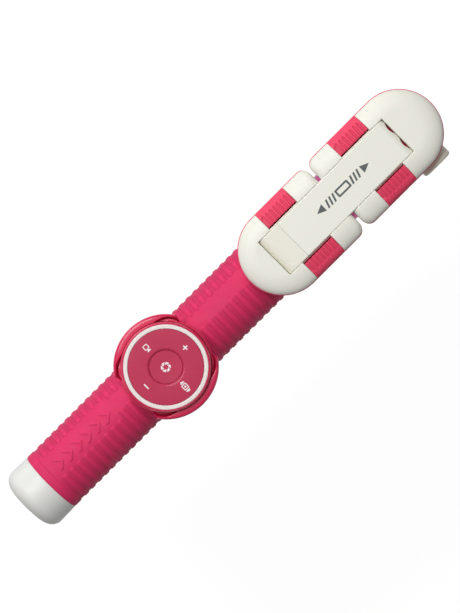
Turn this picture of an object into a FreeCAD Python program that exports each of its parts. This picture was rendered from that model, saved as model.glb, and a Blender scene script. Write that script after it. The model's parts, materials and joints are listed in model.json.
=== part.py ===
"""Telescopic selfie stick with a folding phone clamp and a lift-out remote.

Frame: +X runs along the pole from the end cap to the head, +Z is the way the
remote's keys face, and the origin is the centre of the end cap's flat face.
The stick is modelled folded: pole shut, clamp closed and laid back over the
grip, remote in its cradle. All sizes are millimetres.
"""
import FreeCAD
import Part

import math
import os

from FreeCAD import Vector

# ---------------------------------------------------------------- handle
CAP_R = 13.9
CAP_LENGTH = 13.3
CAP_FACE_R = 8.4
CAP_EDGE_LENGTH = 5.2
CAP_EDGE_STEPS = 14
CAP_SEAM = 0.25
PLUG_WALL = 1.6

TUBE_R = 11.9
TUBE_WALL = 0.8
TUBE_X0 = 15.0
TUBE_X1 = 182.0
LIP_LENGTH = 2.0

GRIP_R = 13.1
RIB_R = 13.7
GRIP_X1 = 168.0
GRIP_BAND_X = (16.7, 17.0)
RIB_PITCH = 3.8
RIB_WIDTH = 2.2
FIRST_RIB_X = 20.1
LAST_RIB_X = 164.6
WIDE_LANE_X1 = 52.4
WIDE_LANE = (16.2, 23.0)
NARROW_LANE = (18.0, 13.0)
BACK_LANE = (198.0, 13.0)
SADDLE_GROOVE_R = 12.7

# ---------------------------------------------------------------- pole
SECTION_RADII = (10.4, 8.9, 7.4, 5.9, 4.4)
SECTION_WALL = 0.6
SECTION_STEP = 2.0
SECTION_X0 = 17.0
BUSH_LENGTH = 11.0
SLIDE_CLEARANCE = 0.05

# ---------------------------------------------------------------- head
FERRULE_X0 = 190.5
FERRULE_X1 = 196.4
FERRULE_R = 8.8
FERRULE_FLOOR = 1.5
FERRULE_CORE = 5.0
FORK_X0 = 196.5
FORK_FLOOR_X = 205.5
FORK_EAR_Y = (5.15, 9.5)
FORK_ROOT = (202.5, 1.0)
FORK_ROOT_R = 5.8
TILT_X = 211.5
TILT_Z = 7.4
EAR_R = 5.6
EAR_CLEARANCE = 0.3
LUG_R = 5.5
LUG_HALF_WIDTH = 5.0
TILT_BOLT_R = 2.0
BOLT_HEAD_R = 3.8
BOLT_HEAD_HEIGHT = 2.2
WASHER_R = 4.6
KNOB_R = 6.8
KNOB_Y = (10.05, 19.8)
KNOB_EDGE = 1.2
KNOB_NUT_R = 3.4
KNOB_NUT_DEPTH = 2.8
SWIVEL_SCREW_R = 2.0
SWIVEL_HEAD_R = 3.4
SWIVEL_HEAD_HEIGHT = 2.0

# ---------------------------------------------------------------- clamp
JAW_R = 17.65
JAW_BACK_Z = 15.0
JAW_SPLIT_Z = 18.6
FRONT_Z = 23.0
COVER_INSET = 0.3
FRONT_EDGE_R = 3.8
WINDOW_HALF = 8.95
TIP_LENGTH = 11.6
TIP_CORNER_R = 3.6
PAD_LENGTH = 15.2
PAD_DROP = 0.5
PAD_RECESS = 1.0
PAD_BARS = 6
PAD_BAR_PITCH = 1.95
PAD_BAR_HALF = 0.5
PAD_BAR_RISE = 0.35
PAD_BAR_INSET = 0.3
PAD_SHOULDER = 2.6
RAIL_WIDTH = 0.5
RAIL_TOP_Z = 21.4

JAW_SCREW_U = -4.0
JAW_SCREW_Y = 12.0
JAW_SCREW_DEPTH = 3.0

FIXED_JAW_X = 207.95
FIXED_WINDOW_U = 0.95
FIXED_TIP_U = 34.25
SLIDE_JAW_X = 143.4
SLIDE_WINDOW_U = -4.7
SLIDE_TIP_U = 28.9

SMALL_SCREW_R = 0.9
SMALL_HEAD_R = 1.8
SMALL_HEAD_HEIGHT = 1.2

BOX_HALF = 8.8
BOX_BACK_Z = 15.6
BOX_X0 = 149.1
BOX_END_X = 206.8
BOX_EDGE_R = 0.5
BOX_WALL = 1.2
BOX_SCREW_R = 0.75
BOX_SCREW_Y = 7.4
SCALLOP_R = 4.3
SCALLOP_DEPTH = 1.0
SEAM_GAP = 0.04
TONGUE_X0 = 138.9
TONGUE_HALF = 7.4
TONGUE_Z = (17.5, 21.7)
TONGUE_TAIL_X = 195.0

HINGE_Z = 20.0
HINGE_INSET = 3.0
HINGE_PIN_R = 0.9
KNUCKLE_R = 2.5
KNUCKLE_Y = (1.6, 6.6)
KNUCKLE_POST = 1.4
KNUCKLE_FOOT_Z = 17.2
HINGE_GAP = 0.1

SPRING_Y = 3.9
SPRING_Z = 19.6
SPRING_R = 1.5
SPRING_WIRE = 0.4
SPRING_BORE_R = 1.8
SPRING_X = (159.2, 197.4)
SPRING_POST_R = 0.8

# ---------------------------------------------------------------- remote
REMOTE_X = 79.1
REMOTE_R = 17.7
REMOTE_Z0 = 15.9
REMOTE_SPLIT_Z = 21.4
REMOTE_Z1 = 25.0
SHELL_WALL = 1.3
FLOOR_WALL = 1.2
RING_R = 16.6
DISC_R = 14.6
KEY_R = 6.5
KEY_GAP = 0.15
SWITCH_R = 11.0
BOARD_Z = (20.5, 21.3)
DOME_RISE = 0.4
DOME_SPHERE_R = 4.5
DECK_Z = (22.3, 22.9)
MAT_Z = (22.95, 23.35)
PLUNGER_R = 1.3
PLUNGER_Z0 = 22.05
TRUNNION_R = 0.2
TRUNNION_Y = (13.0, 14.2)
ROCKER_BASE_Z = 23.75
ROCKER_RIB_R = 0.3
ROCKER_RIB_X = (7.2, 13.0)
SHUTTER_BASE_Z = 23.4
SHUTTER_DROP = 0.35
STEM_R = 1.5
DISH_R = 60.0
DISH_DEPTH = 0.22
DOOR_R = 11.0
DOOR_HEIGHT = 1.15
COIN_R = 10.0
COIN_Z = (17.15, 20.35)
CONTACT_Y = 4.0
CASE_SCREW_R = 0.75
CASE_HEAD_R = 1.3
CASE_SCREW_ANGLES = (90, 210, 330)

CRADLE_FLOOR_Z = (14.1, 15.8)
CRADLE_RIM_Z = 17.5
CRADLE_R = 18.6
CRADLE_BORE_R = 17.8
WING_TOP_Z = 21.5
WING_R = 18.5
WING_SHIFT = 2.4
WING_ENDS = {1: (15.0, 165.0), -1: (198.0, 342.0)}
CRADLE_SCREW_X = (REMOTE_X - 6.0, REMOTE_X + 6.0)
BAND_HALF_LENGTH = 9.5
BAND_R = 14.1
SADDLE_HALF_WIDTH = 9.0

AXES = {"x": Vector(1, 0, 0), "y": Vector(0, 1, 0), "z": Vector(0, 0, 1)}


# ================================================================ helpers
def save(name, shape):
    """Write one node's solids to its STEP file."""
    solids = shape.Solids
    result = solids[0] if len(solids) == 1 else Part.makeCompound(solids)
    result.exportStep("parts/" + name + ".step")


def block(x, y, z):
    """Box between the (low, high) pairs x, y and z."""
    return Part.makeBox(x[1] - x[0], y[1] - y[0], z[1] - z[0], Vector(x[0], y[0], z[0]))


def rod(axis, radius, span, centre=(0.0, 0.0)):
    """Cylinder along an axis; centre holds the other two coordinates in order."""
    a, b = centre
    base = {"x": Vector(span[0], a, b), "y": Vector(a, span[0], b), "z": Vector(a, b, span[0])}
    return Part.makeCylinder(radius, span[1] - span[0], base[axis], AXES[axis])


def pipe(axis, outer, inner, span, centre=(0.0, 0.0)):
    """Round tube along an axis."""
    return rod(axis, outer, span, centre).cut(rod(axis, inner, span, centre))


def turn_x(points):
    """Revolve a closed (x, radius) outline about the pole's axis."""
    wire = Part.makePolygon([Vector(x, 0, r) for x, r in points + points[:1]])
    return Part.Face(wire).revolve(Vector(0, 0, 0), AXES["x"], 360)


def turn_z(points, x):
    """Revolve a closed (radius, z) outline about a vertical axis at x."""
    wire = Part.makePolygon([Vector(x + r, 0, z) for r, z in points + points[:1]])
    return Part.Face(wire).revolve(Vector(x, 0, 0), AXES["z"], 360)


def sector_x(angle, half_angle, radius, span):
    """Pie-shaped prism along X, centred on an angle measured from +Z towards +Y."""
    steps = 8
    points = [Vector(span[0], 0, 0)]
    for i in range(steps + 1):
        a = math.radians(angle - half_angle + 2 * half_angle * i / steps)
        points.append(Vector(span[0], radius * math.sin(a), radius * math.cos(a)))
    face = Part.Face(Part.makePolygon(points + points[:1]))
    return face.extrude(Vector(span[1] - span[0], 0, 0))


def sector_z(x, start, end, radius, span):
    """Pie-shaped prism along Z about x, between two angles from +X."""
    steps = 12
    points = [Vector(x, 0, span[0])]
    for i in range(steps + 1):
        a = math.radians(start + (end - start) * i / steps)
        points.append(Vector(x + radius * math.cos(a), radius * math.sin(a), span[0]))
    face = Part.Face(Part.makePolygon(points + points[:1]))
    return face.extrude(Vector(0, 0, span[1] - span[0]))


def two_circle_plate(c1, r1, c2, r2, y):
    """Plate in the XZ plane whose outline wraps two circles, spanning the pair y."""
    dx, dz = c2[0] - c1[0], c2[1] - c1[1]
    reach = math.hypot(dx, dz)
    aim = math.atan2(dz, dx)
    spread = math.acos((r1 - r2) / reach)

    def at(c, r, a):
        return Vector(c[0] + r * math.cos(a), y[0], c[1] + r * math.sin(a))

    a1, a2 = at(c1, r1, aim + spread), at(c1, r1, aim - spread)
    b1, b2 = at(c2, r2, aim + spread), at(c2, r2, aim - spread)
    edges = [
        Part.Arc(a1, at(c1, r1, aim + math.pi), a2).toShape(),
        Part.makeLine(a2, b2),
        Part.Arc(b2, at(c2, r2, aim), b1).toShape(),
        Part.makeLine(b1, a1),
    ]
    return Part.Face(Part.Wire(edges)).extrude(Vector(0, y[1] - y[0], 0))


def soften(shape, radius, wanted):
    """Round the edges for which wanted(edge) is true."""
    return shape.makeFillet(radius, [e for e in shape.Edges if wanted(e)])


def lies_at(edge, axis, value):
    """True when every point of an edge has this coordinate."""
    low = getattr(edge.BoundBox, axis + "Min")
    high = getattr(edge.BoundBox, axis + "Max")
    return abs(low - value) < 1e-3 and abs(high - value) < 1e-3


# ================================================================ handle
def make_end_cap():
    """Domed cap whose hollow plug closes the tube."""
    bore = TUBE_R - TUBE_WALL
    rise = CAP_R - CAP_FACE_R
    plug_end = SECTION_X0 - 0.5
    outline = [(0, 0), (0, CAP_FACE_R)]
    for i in range(1, CAP_EDGE_STEPS + 1):
        a = math.pi / 2 * i / CAP_EDGE_STEPS
        outline.append((CAP_EDGE_LENGTH * (1 - math.cos(a)), CAP_FACE_R + rise * math.sin(a)))
    outline += [(CAP_LENGTH, CAP_R - CAP_SEAM), (CAP_LENGTH, TUBE_R), (TUBE_X0, TUBE_R)]
    outline += [(TUBE_X0, bore), (plug_end, bore), (plug_end, 0)]
    pocket = rod("x", bore - PLUG_WALL, (CAP_EDGE_LENGTH, plug_end))
    return turn_x(outline).cut(pocket)


def make_grip():
    """Ribbed silicone sleeve with smooth lanes and a groove under the remote's band."""
    outline = [(CAP_LENGTH, TUBE_R), (CAP_LENGTH, RIB_R)]
    outline += [(GRIP_BAND_X[0], RIB_R), (GRIP_BAND_X[1], GRIP_R)]
    groove = (REMOTE_X - BAND_HALF_LENGTH, REMOTE_X + BAND_HALF_LENGTH)
    foot = RIB_WIDTH / 2
    crest = RIB_WIDTH / 4
    grooved = False
    count = int((LAST_RIB_X - FIRST_RIB_X) / RIB_PITCH) + 1
    for i in range(count):
        x = FIRST_RIB_X + i * RIB_PITCH
        if groove[0] - RIB_WIDTH < x < groove[1] + RIB_WIDTH:
            if not grooved:
                outline += [(groove[0], GRIP_R), (groove[0], SADDLE_GROOVE_R)]
                outline += [(groove[1], SADDLE_GROOVE_R), (groove[1], GRIP_R)]
                grooved = True
            continue
        outline += [(x - foot, GRIP_R), (x - crest, RIB_R), (x + crest, RIB_R), (x + foot, GRIP_R)]
    outline += [(GRIP_X1, GRIP_R), (GRIP_X1, TUBE_R)]
    grip = turn_x(outline)
    ring_span = (GRIP_BAND_X[1], GRIP_X1)
    ring = pipe("x", RIB_R + 1.0, GRIP_R, ring_span)
    lanes = [
        (WIDE_LANE, (GRIP_BAND_X[1], WIDE_LANE_X1)),
        (NARROW_LANE, (WIDE_LANE_X1, GRIP_X1)),
        (BACK_LANE, ring_span),
    ]
    for (angle, half_angle), span in lanes:
        grip = grip.cut(sector_x(angle, half_angle, 2 * RIB_R, span).common(ring))
    return grip


def make_lipped_tube(outer, wall, span, lip_bore):
    """Thin tube whose far end is rolled in to hold the next tube."""
    bore = outer - wall
    body = pipe("x", outer, bore, span)
    lip = pipe("x", bore, lip_bore, (span[1] - LIP_LENGTH, span[1]))
    return body.fuse(lip).removeSplitter()


def make_handle_tube():
    """Outer tube that the grip is stretched over."""
    lip_bore = SECTION_RADII[0] + SLIDE_CLEARANCE
    return make_lipped_tube(TUBE_R, TUBE_WALL, (TUBE_X0, TUBE_X1), lip_bore)


def make_section(index):
    """One telescopic tube; the last one runs on into the head's ferrule."""
    radius = SECTION_RADII[index]
    start = SECTION_X0 + index
    if index == len(SECTION_RADII) - 1:
        return pipe("x", radius, radius - SECTION_WALL, (start, FERRULE_X1 - FERRULE_FLOOR))
    end = TUBE_X1 + SECTION_STEP * (index + 1)
    lip_bore = SECTION_RADII[index + 1] + SLIDE_CLEARANCE
    return make_lipped_tube(radius, SECTION_WALL, (start, end), lip_bore)


def make_bush(index):
    """Friction bush on a tube's inner end; it stops at the outer tube's lip."""
    parent_bore = TUBE_R - TUBE_WALL
    if index:
        parent_bore = SECTION_RADII[index - 1] - SECTION_WALL
    start = SECTION_X0 + index + 1.0
    bush = pipe("x", parent_bore - SLIDE_CLEARANCE, SECTION_RADII[index], (start, start + BUSH_LENGTH))
    slit = block((start + 2.0, start + BUSH_LENGTH), (-0.6, 0.6), (0, parent_bore))
    return bush.cut(slit)


# ================================================================ head
def make_ferrule():
    """Collar on the last tube that the fork turns against."""
    floor = FERRULE_X1 - FERRULE_FLOOR
    core_x0 = FERRULE_X0 - FERRULE_CORE
    body = rod("x", FERRULE_R, (FERRULE_X0, FERRULE_X1))
    body = soften(body, 0.6, lambda e: lies_at(e, "X", FERRULE_X0))
    body = body.cut(rod("x", SECTION_RADII[-1], (FERRULE_X0, floor)))
    core = rod("x", SECTION_RADII[-1] - SECTION_WALL, (core_x0, floor))
    return body.fuse(core).cut(rod("x", SWIVEL_SCREW_R, (core_x0 + 1.0, FERRULE_X1)))


def make_fork():
    """Two ears on a round base; the clamp's lug tilts between them."""
    inner, outer = FORK_EAR_Y
    tilt = (TILT_X, TILT_Z)
    head_seat = FORK_FLOOR_X - SWIVEL_HEAD_HEIGHT - 0.6
    fork = rod("x", FERRULE_R, (FORK_X0, FORK_FLOOR_X))
    fork = soften(fork, 0.6, lambda e: lies_at(e, "X", FORK_X0))
    for side in (1, -1):
        span = (inner, outer) if side > 0 else (-outer, -inner)
        ear = two_circle_plate(FORK_ROOT, FORK_ROOT_R, tilt, EAR_R, span)
        ear = soften(ear, 0.8, lambda e, y=side * outer: lies_at(e, "Y", y))
        fork = fork.fuse(ear)
    fork = fork.cut(rod("y", EAR_R + EAR_CLEARANCE, (-inner, inner), tilt))
    fork = fork.cut(rod("y", TILT_BOLT_R, (-outer - 1, outer + 1), tilt))
    fork = fork.cut(rod("x", SWIVEL_SCREW_R + SLIDE_CLEARANCE, (FORK_X0, FORK_FLOOR_X)))
    return fork.cut(rod("x", SWIVEL_HEAD_R + 0.2, (head_seat, FORK_FLOOR_X + 1)))


def make_swivel_screw():
    """Shouldered screw that holds the fork to the ferrule and lets it turn."""
    head_x1 = FORK_FLOOR_X - 0.5
    head_x0 = head_x1 - SWIVEL_HEAD_HEIGHT
    shank = rod("x", SWIVEL_SCREW_R, (FERRULE_X0 - FERRULE_CORE + 1.0, head_x0))
    head = rod("x", SWIVEL_HEAD_R, (head_x0, head_x1))
    slot = block((head_x1 - 0.7, head_x1 + 1), (-SWIVEL_HEAD_R, SWIVEL_HEAD_R), (-0.4, 0.4))
    return shank.fuse(head).cut(slot)


def make_tilt_bolt():
    """Bolt through both ears and the lug; the knob's nut runs on its end."""
    tilt = (TILT_X, TILT_Z)
    seat = FORK_EAR_Y[1]
    top = seat + BOLT_HEAD_HEIGHT
    shank = rod("y", TILT_BOLT_R, (-KNOB_Y[1] + KNOB_NUT_DEPTH + 0.7, seat), tilt)
    head = rod("y", BOLT_HEAD_R, (seat, top), tilt)
    head = soften(head, 0.9, lambda e: lies_at(e, "Y", top))
    socket = rod("y", 1.5, (seat + 1.0, top), tilt)
    return shank.fuse(head).cut(socket)


def make_tilt_washer():
    """Steel washer between the ear and the knob."""
    span = (-KNOB_Y[0] + SLIDE_CLEARANCE, -FORK_EAR_Y[1])
    return pipe("y", WASHER_R, TILT_BOLT_R + 0.1, span, (TILT_X, TILT_Z))


def knob_nut_span():
    """Y range of the brass insert inside the knob."""
    return (-KNOB_Y[1] + KNOB_NUT_DEPTH, -KNOB_Y[0])


def make_tilt_knob():
    """Round knob with a rolled edge; a pocket takes its brass nut."""
    near, far = KNOB_Y
    knob = rod("y", KNOB_R, (-far, -near), (TILT_X, TILT_Z))
    knob = soften(knob, KNOB_EDGE, lambda e: lies_at(e, "Y", -far))
    return knob.cut(rod("y", KNOB_NUT_R, knob_nut_span(), (TILT_X, TILT_Z)))


def make_tilt_nut():
    """Brass insert pressed into the knob."""
    return pipe("y", KNOB_NUT_R, TILT_BOLT_R + SLIDE_CLEARANCE, knob_nut_span(), (TILT_X, TILT_Z))


# ================================================================ clamp jaws
# Both jaws are the same U shape. Each is drawn with its round end centred on the
# origin and its two legs pointing along +X, then put in place.
def place_fixed(shape):
    """Turn a jaw piece to point back along the pole, at the head's end."""
    turned = shape.copy()
    turned.rotate(Vector(0, 0, 0), AXES["z"], 180)
    turned.translate(Vector(FIXED_JAW_X, 0, 0))
    return turned


def place_sliding(shape):
    """Put a jaw piece at the tongue's end."""
    moved = shape.copy()
    moved.translate(Vector(SLIDE_JAW_X, 0, 0))
    return moved


def u_plate(radius, window_u, end_u, z):
    """U-shaped plate: a half disc, two legs to end_u, and the window between them."""
    disc = rod("z", radius, z)
    legs = block((0, end_u), (-radius, radius), z)
    outline = disc.fuse(legs).removeSplitter()
    outline = outline.cut(block((end_u, radius + end_u + 1), (-radius - 1, radius + 1), z))
    return outline.cut(block((window_u, end_u + radius), (-WINDOW_HALF, WINDOW_HALF), z))


def make_jaw_base(window_u, tip_u):
    """Back frame of a jaw, a little wider than the covers on it."""
    end = tip_u - COVER_INSET
    base = u_plate(JAW_R, window_u, end, (JAW_BACK_Z, JAW_SPLIT_Z))
    base = soften(
        base,
        TIP_CORNER_R - COVER_INSET,
        lambda e: lies_at(e, "X", end) and abs(abs(e.CenterOfMass.y) - JAW_R) < 1e-3,
    )
    base = soften(base, 1.2, lambda e: lies_at(e, "Z", JAW_BACK_Z) and is_outer(e, JAW_R))
    for at in jaw_screw_places():
        base = base.cut(rod("z", SMALL_SCREW_R + 0.2, (JAW_BACK_Z, JAW_SPLIT_Z), at))
        base = base.cut(rod("z", SMALL_HEAD_R + 0.1, (JAW_BACK_Z, JAW_BACK_Z + 1.3), at))
    return base


def jaw_screw_places():
    """Centres of a jaw's two screws, beside its window."""
    return [(JAW_SCREW_U, side * JAW_SCREW_Y) for side in (1, -1)]


def is_outer(edge, radius):
    """True for the edges that run round a jaw's outside."""
    middle = edge.valueAt((edge.FirstParameter + edge.LastParameter) / 2)
    return math.hypot(min(middle.x, 0.0), middle.y) > radius - 0.05


def make_jaw_cover(window_u, pad_u):
    """White shell over the round end, with posts for the jaw's screws."""
    radius = JAW_R - COVER_INSET
    cover = u_plate(radius, window_u, pad_u, (JAW_SPLIT_Z, FRONT_Z))
    cover = soften(cover, FRONT_EDGE_R, lambda e: lies_at(e, "Z", FRONT_Z) and is_outer(e, radius))
    cover = soften(
        cover,
        0.4,
        lambda e: lies_at(e, "Z", FRONT_Z) and abs(e.CenterOfMass.y) < WINDOW_HALF + 1e-3,
    )
    for at in jaw_screw_places():
        cover = cover.cut(rod("z", SMALL_SCREW_R, (JAW_SPLIT_Z, JAW_SPLIT_Z + JAW_SCREW_DEPTH), at))
    return cover


def make_jaw_tips(tip_u):
    """Pair of white end pieces with rounded corners and a low rail along the window."""
    radius = JAW_R - COVER_INSET
    start = tip_u - TIP_LENGTH
    pair = []
    for side in (1, -1):
        y = (WINDOW_HALF, radius) if side > 0 else (-radius, -WINDOW_HALF)
        tip = block((start, tip_u), y, (JAW_SPLIT_Z, FRONT_Z))
        tip = soften(
            tip,
            TIP_CORNER_R,
            lambda e: lies_at(e, "X", tip_u) and lies_at(e, "Y", side * radius),
        )
        tip = soften(
            tip,
            2.6,
            lambda e: lies_at(e, "Z", FRONT_Z)
            and e.BoundBox.XMax > start + 1e-3
            and abs(e.CenterOfMass.y) > WINDOW_HALF + 1e-3,
        )
        rail_x = (start - PAD_LENGTH + SLIDE_CLEARANCE, start)
        rail_y = sorted((side * WINDOW_HALF, side * (WINDOW_HALF + RAIL_WIDTH)))
        rail = block(rail_x, rail_y, (JAW_SPLIT_Z, RAIL_TOP_Z))
        pair.append(tip.fuse(rail).removeSplitter())
    return Part.makeCompound(pair)


def make_jaw_pads(tip_u):
    """Pair of rubber pads with raised bars across each leg."""
    end = tip_u - TIP_LENGTH
    start = end - PAD_LENGTH
    outer = JAW_R - COVER_INSET
    inner = WINDOW_HALF + PAD_RECESS
    top = FRONT_Z - PAD_DROP
    x = (start + SLIDE_CLEARANCE, end - SLIDE_CLEARANCE)
    shoulder = FRONT_EDGE_R - 0.5
    pair = []
    for side in (1, -1):
        y = (inner, outer) if side > 0 else (-outer, -inner)
        pad = block(x, y, (JAW_SPLIT_Z, top))
        pad = soften(pad, shoulder, lambda e: lies_at(e, "Z", top) and lies_at(e, "Y", side * outer))
        bar_y = sorted((side * (inner + PAD_BAR_INSET), side * (outer - PAD_SHOULDER)))
        bar_z = (top - 1.0, top + PAD_BAR_RISE)
        bars = []
        for i in range(PAD_BARS):
            middle = start + PAD_LENGTH / 2 + (i - (PAD_BARS - 1) / 2) * PAD_BAR_PITCH
            bars.append(block((middle - PAD_BAR_HALF, middle + PAD_BAR_HALF), bar_y, bar_z))
        pair.append(pad.multiFuse(bars).removeSplitter())
    return Part.makeCompound(pair)


def jaw_screws(place):
    """Two self-tapping screws that hold a cover to its base."""
    head_z = (JAW_BACK_Z + 0.1, JAW_BACK_Z + 0.1 + SMALL_HEAD_HEIGHT)
    pair = []
    for at in jaw_screw_places():
        shank = rod("z", SMALL_SCREW_R, (head_z[0], JAW_SPLIT_Z + JAW_SCREW_DEPTH - 0.2), at)
        head = rod("z", SMALL_HEAD_R, head_z, at)
        pair.append(place(shank.fuse(head)))
    return Part.makeCompound(pair)


def box_hinge_x():
    """X of the pin between the spring box and the fixed jaw."""
    return BOX_END_X - HINGE_INSET


def tongue_hinge_x():
    """X of the pin between the tongue and the sliding jaw."""
    return TONGUE_X0 + HINGE_INSET


def make_fixed_jaw_base():
    """Back frame of the fixed jaw with its tilt lug and two hinge knuckles."""
    base = place_fixed(make_jaw_base(FIXED_WINDOW_U, FIXED_TIP_U))
    lug_y = (-LUG_HALF_WIDTH, LUG_HALF_WIDTH)
    lug = rod("y", LUG_R, lug_y, (TILT_X, TILT_Z))
    neck = block((TILT_X - LUG_R, TILT_X + LUG_R), lug_y, (TILT_Z, JAW_SPLIT_Z))
    window_edge = FIXED_JAW_X - FIXED_WINDOW_U
    neck = neck.cut(block((0, window_edge), (-WINDOW_HALF, WINDOW_HALF), (JAW_BACK_Z, FRONT_Z)))
    bore = rod("y", TILT_BOLT_R + SLIDE_CLEARANCE, lug_y, (TILT_X, TILT_Z))
    base = base.fuse(lug.fuse(neck)).cut(bore)
    pin_x = box_hinge_x()
    post_x = (pin_x - KNUCKLE_POST, pin_x + KNUCKLE_POST)
    for side in (1, -1):
        y = sorted((side * KNUCKLE_Y[0], side * KNUCKLE_Y[1]))
        eye = rod("y", KNUCKLE_R, y, (pin_x, HINGE_Z))
        post = block(post_x, y, (JAW_BACK_Z, HINGE_Z))
        foot = block((post_x[0], window_edge + 0.5), y, (JAW_BACK_Z, KNUCKLE_FOOT_Z))
        base = base.fuse([eye, post, foot])
    pin_bore = rod("y", HINGE_PIN_R + SLIDE_CLEARANCE, (-BOX_HALF, BOX_HALF), (pin_x, HINGE_Z))
    return base.cut(pin_bore).removeSplitter()


def pin_seats():
    """Space in the sliding jaw's legs for the ends of its hinge pin."""
    reach = WINDOW_HALF + 3.0
    return rod("y", HINGE_PIN_R + SLIDE_CLEARANCE, (-reach, reach), (tongue_hinge_x(), HINGE_Z))


def make_sliding_jaw_cover():
    """White shell of the sliding jaw, bored for the hinge pin."""
    cover = make_jaw_cover(SLIDE_WINDOW_U, SLIDE_TIP_U - TIP_LENGTH - PAD_LENGTH)
    return place_sliding(cover).cut(pin_seats())


# ================================================================ clamp box
def round_hinge_end(shape, pin_x, side):
    """Trim a block's end so that it can swing about its pin without catching."""
    far = pin_x + side * 8.0
    x = sorted((pin_x, far))
    half = BOX_HALF + 1.0
    upper = block(x, (-half, half), (HINGE_Z, FRONT_Z + 1))
    lower = block(x, (-half, half), (BOX_BACK_Z - 1, HINGE_Z))
    keep_upper = rod("y", FRONT_Z - HINGE_Z, (-half, half), (pin_x, HINGE_Z))
    keep_lower = rod("y", HINGE_Z - BOX_BACK_Z, (-half, half), (pin_x, HINGE_Z))
    return shape.cut(upper.cut(keep_upper)).cut(lower.cut(keep_lower))


def make_spring_box_cover():
    """Front shell of the spring box; its end block holds the hinge pin."""
    pin_x = box_hinge_x()
    body = block((BOX_X0, BOX_END_X), (-BOX_HALF, BOX_HALF), (BOX_BACK_Z, FRONT_Z))
    body = round_hinge_end(body, pin_x, 1)
    body = soften(
        body,
        BOX_EDGE_R,
        lambda e: lies_at(e, "Z", FRONT_Z) and abs(abs(e.CenterOfMass.y) - BOX_HALF) < 1e-3,
    )
    cavity_half = TONGUE_HALF + SLIDE_CLEARANCE
    body = body.cut(block(
        (BOX_X0 - 1, box_cavity_end()),
        (-cavity_half, cavity_half),
        (BOX_BACK_Z, TONGUE_Z[1] + SLIDE_CLEARANCE),
    ))
    slot_y = (KNUCKLE_Y[0] - HINGE_GAP, KNUCKLE_Y[1] + HINGE_GAP)
    post = KNUCKLE_POST + 1.5 * HINGE_GAP
    scallop_x = BOX_END_X - SCALLOP_DEPTH + SCALLOP_R
    clear = KNUCKLE_R + HINGE_GAP
    for side in (1, -1):
        y = sorted((side * slot_y[0], side * slot_y[1]))
        body = body.cut(rod("y", clear, y, (pin_x, HINGE_Z)))
        body = body.cut(block((pin_x - post, BOX_END_X + 1), y, (BOX_BACK_Z - 1, HINGE_Z)))
        body = body.cut(block((pin_x, BOX_END_X + 1), y, (HINGE_Z, HINGE_Z + post)))
        body = body.cut(rod("z", SCALLOP_R, (HINGE_Z, FRONT_Z + 1), (scallop_x, sum(y) / 2)))
    for screw in box_screw_rods():
        body = body.cut(screw)
    return body.cut(rod("y", HINGE_PIN_R, (-BOX_HALF, BOX_HALF), (pin_x, HINGE_Z)))


def box_cavity_end():
    """X where the spring box turns solid, just past the springs' posts."""
    return SPRING_X[1] + SPRING_POST_R + 0.6


def box_screw_rods():
    """Two screws beside the hinge block that hold the box's back plate."""
    x = box_cavity_end() + 1.2
    z = (BOX_BACK_Z + BOX_WALL, TONGUE_Z[1])
    return [rod("z", BOX_SCREW_R, z, (x, side * BOX_SCREW_Y)) for side in (1, -1)]


def make_spring_box_back():
    """Back plate that shuts the spring box; the phone lies against it."""
    half = TONGUE_HALF + SLIDE_CLEARANCE
    z = (BOX_BACK_Z, TONGUE_Z[0] - SLIDE_CLEARANCE)
    return block((BOX_X0, box_cavity_end()), (-half, half), z)


def make_slide_tongue():
    """Cream slide bar: a hinge block outside the box and a bored blade inside it."""
    pin_x = tongue_hinge_x()
    head = block((TONGUE_X0, BOX_X0 - SEAM_GAP), (-BOX_HALF, BOX_HALF), (BOX_BACK_Z, FRONT_Z))
    head = round_hinge_end(head, pin_x, -1)
    head = soften(
        head,
        BOX_EDGE_R,
        lambda e: lies_at(e, "Z", FRONT_Z) and abs(abs(e.CenterOfMass.y) - BOX_HALF) < 1e-3,
    )
    blade = block((BOX_X0 - 0.2, TONGUE_TAIL_X), (-TONGUE_HALF, TONGUE_HALF), TONGUE_Z)
    tongue = head.fuse(blade)
    for side in (1, -1):
        at = (side * SPRING_Y, SPRING_Z)
        tongue = tongue.cut(rod("x", SPRING_BORE_R, (SPRING_X[0] - 2.0, TONGUE_TAIL_X), at))
        tongue = tongue.cut(rod("z", SPRING_POST_R, TONGUE_Z, (SPRING_X[0], side * SPRING_Y)))
    pin_bore = rod("y", HINGE_PIN_R, (-BOX_HALF, BOX_HALF), (pin_x, HINGE_Z))
    return tongue.cut(pin_bore).removeSplitter()


def make_clamp_springs():
    """Two extension springs, drawn as sleeves of their coil's size."""
    start = SPRING_X[0] + SPRING_POST_R + 0.2
    end = SPRING_X[1] - SPRING_POST_R - 0.2
    springs = [
        pipe("x", SPRING_R, SPRING_R - SPRING_WIRE, (start, end), (side * SPRING_Y, SPRING_Z))
        for side in (1, -1)
    ]
    return Part.makeCompound(springs)


def spring_posts(x):
    """Two steel posts that a spring hook is looped over."""
    posts = [rod("z", SPRING_POST_R, TONGUE_Z, (x, side * SPRING_Y)) for side in (1, -1)]
    return Part.makeCompound(posts)


# ================================================================ remote
def make_cradle_band():
    """Strap round the grip with a flat saddle under the cradle."""
    x = (REMOTE_X - BAND_HALF_LENGTH, REMOTE_X + BAND_HALF_LENGTH)
    top = CRADLE_FLOOR_Z[0]
    saddle = block(x, (-SADDLE_HALF_WIDTH, SADDLE_HALF_WIDTH), (0, top))
    band = rod("x", BAND_R, x).fuse(saddle).removeSplitter()
    band = band.cut(rod("x", SADDLE_GROOVE_R, x))
    for screw_x in CRADLE_SCREW_X:
        band = band.cut(rod("z", SMALL_SCREW_R, (0, top), (screw_x, 0)))
    return band


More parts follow.
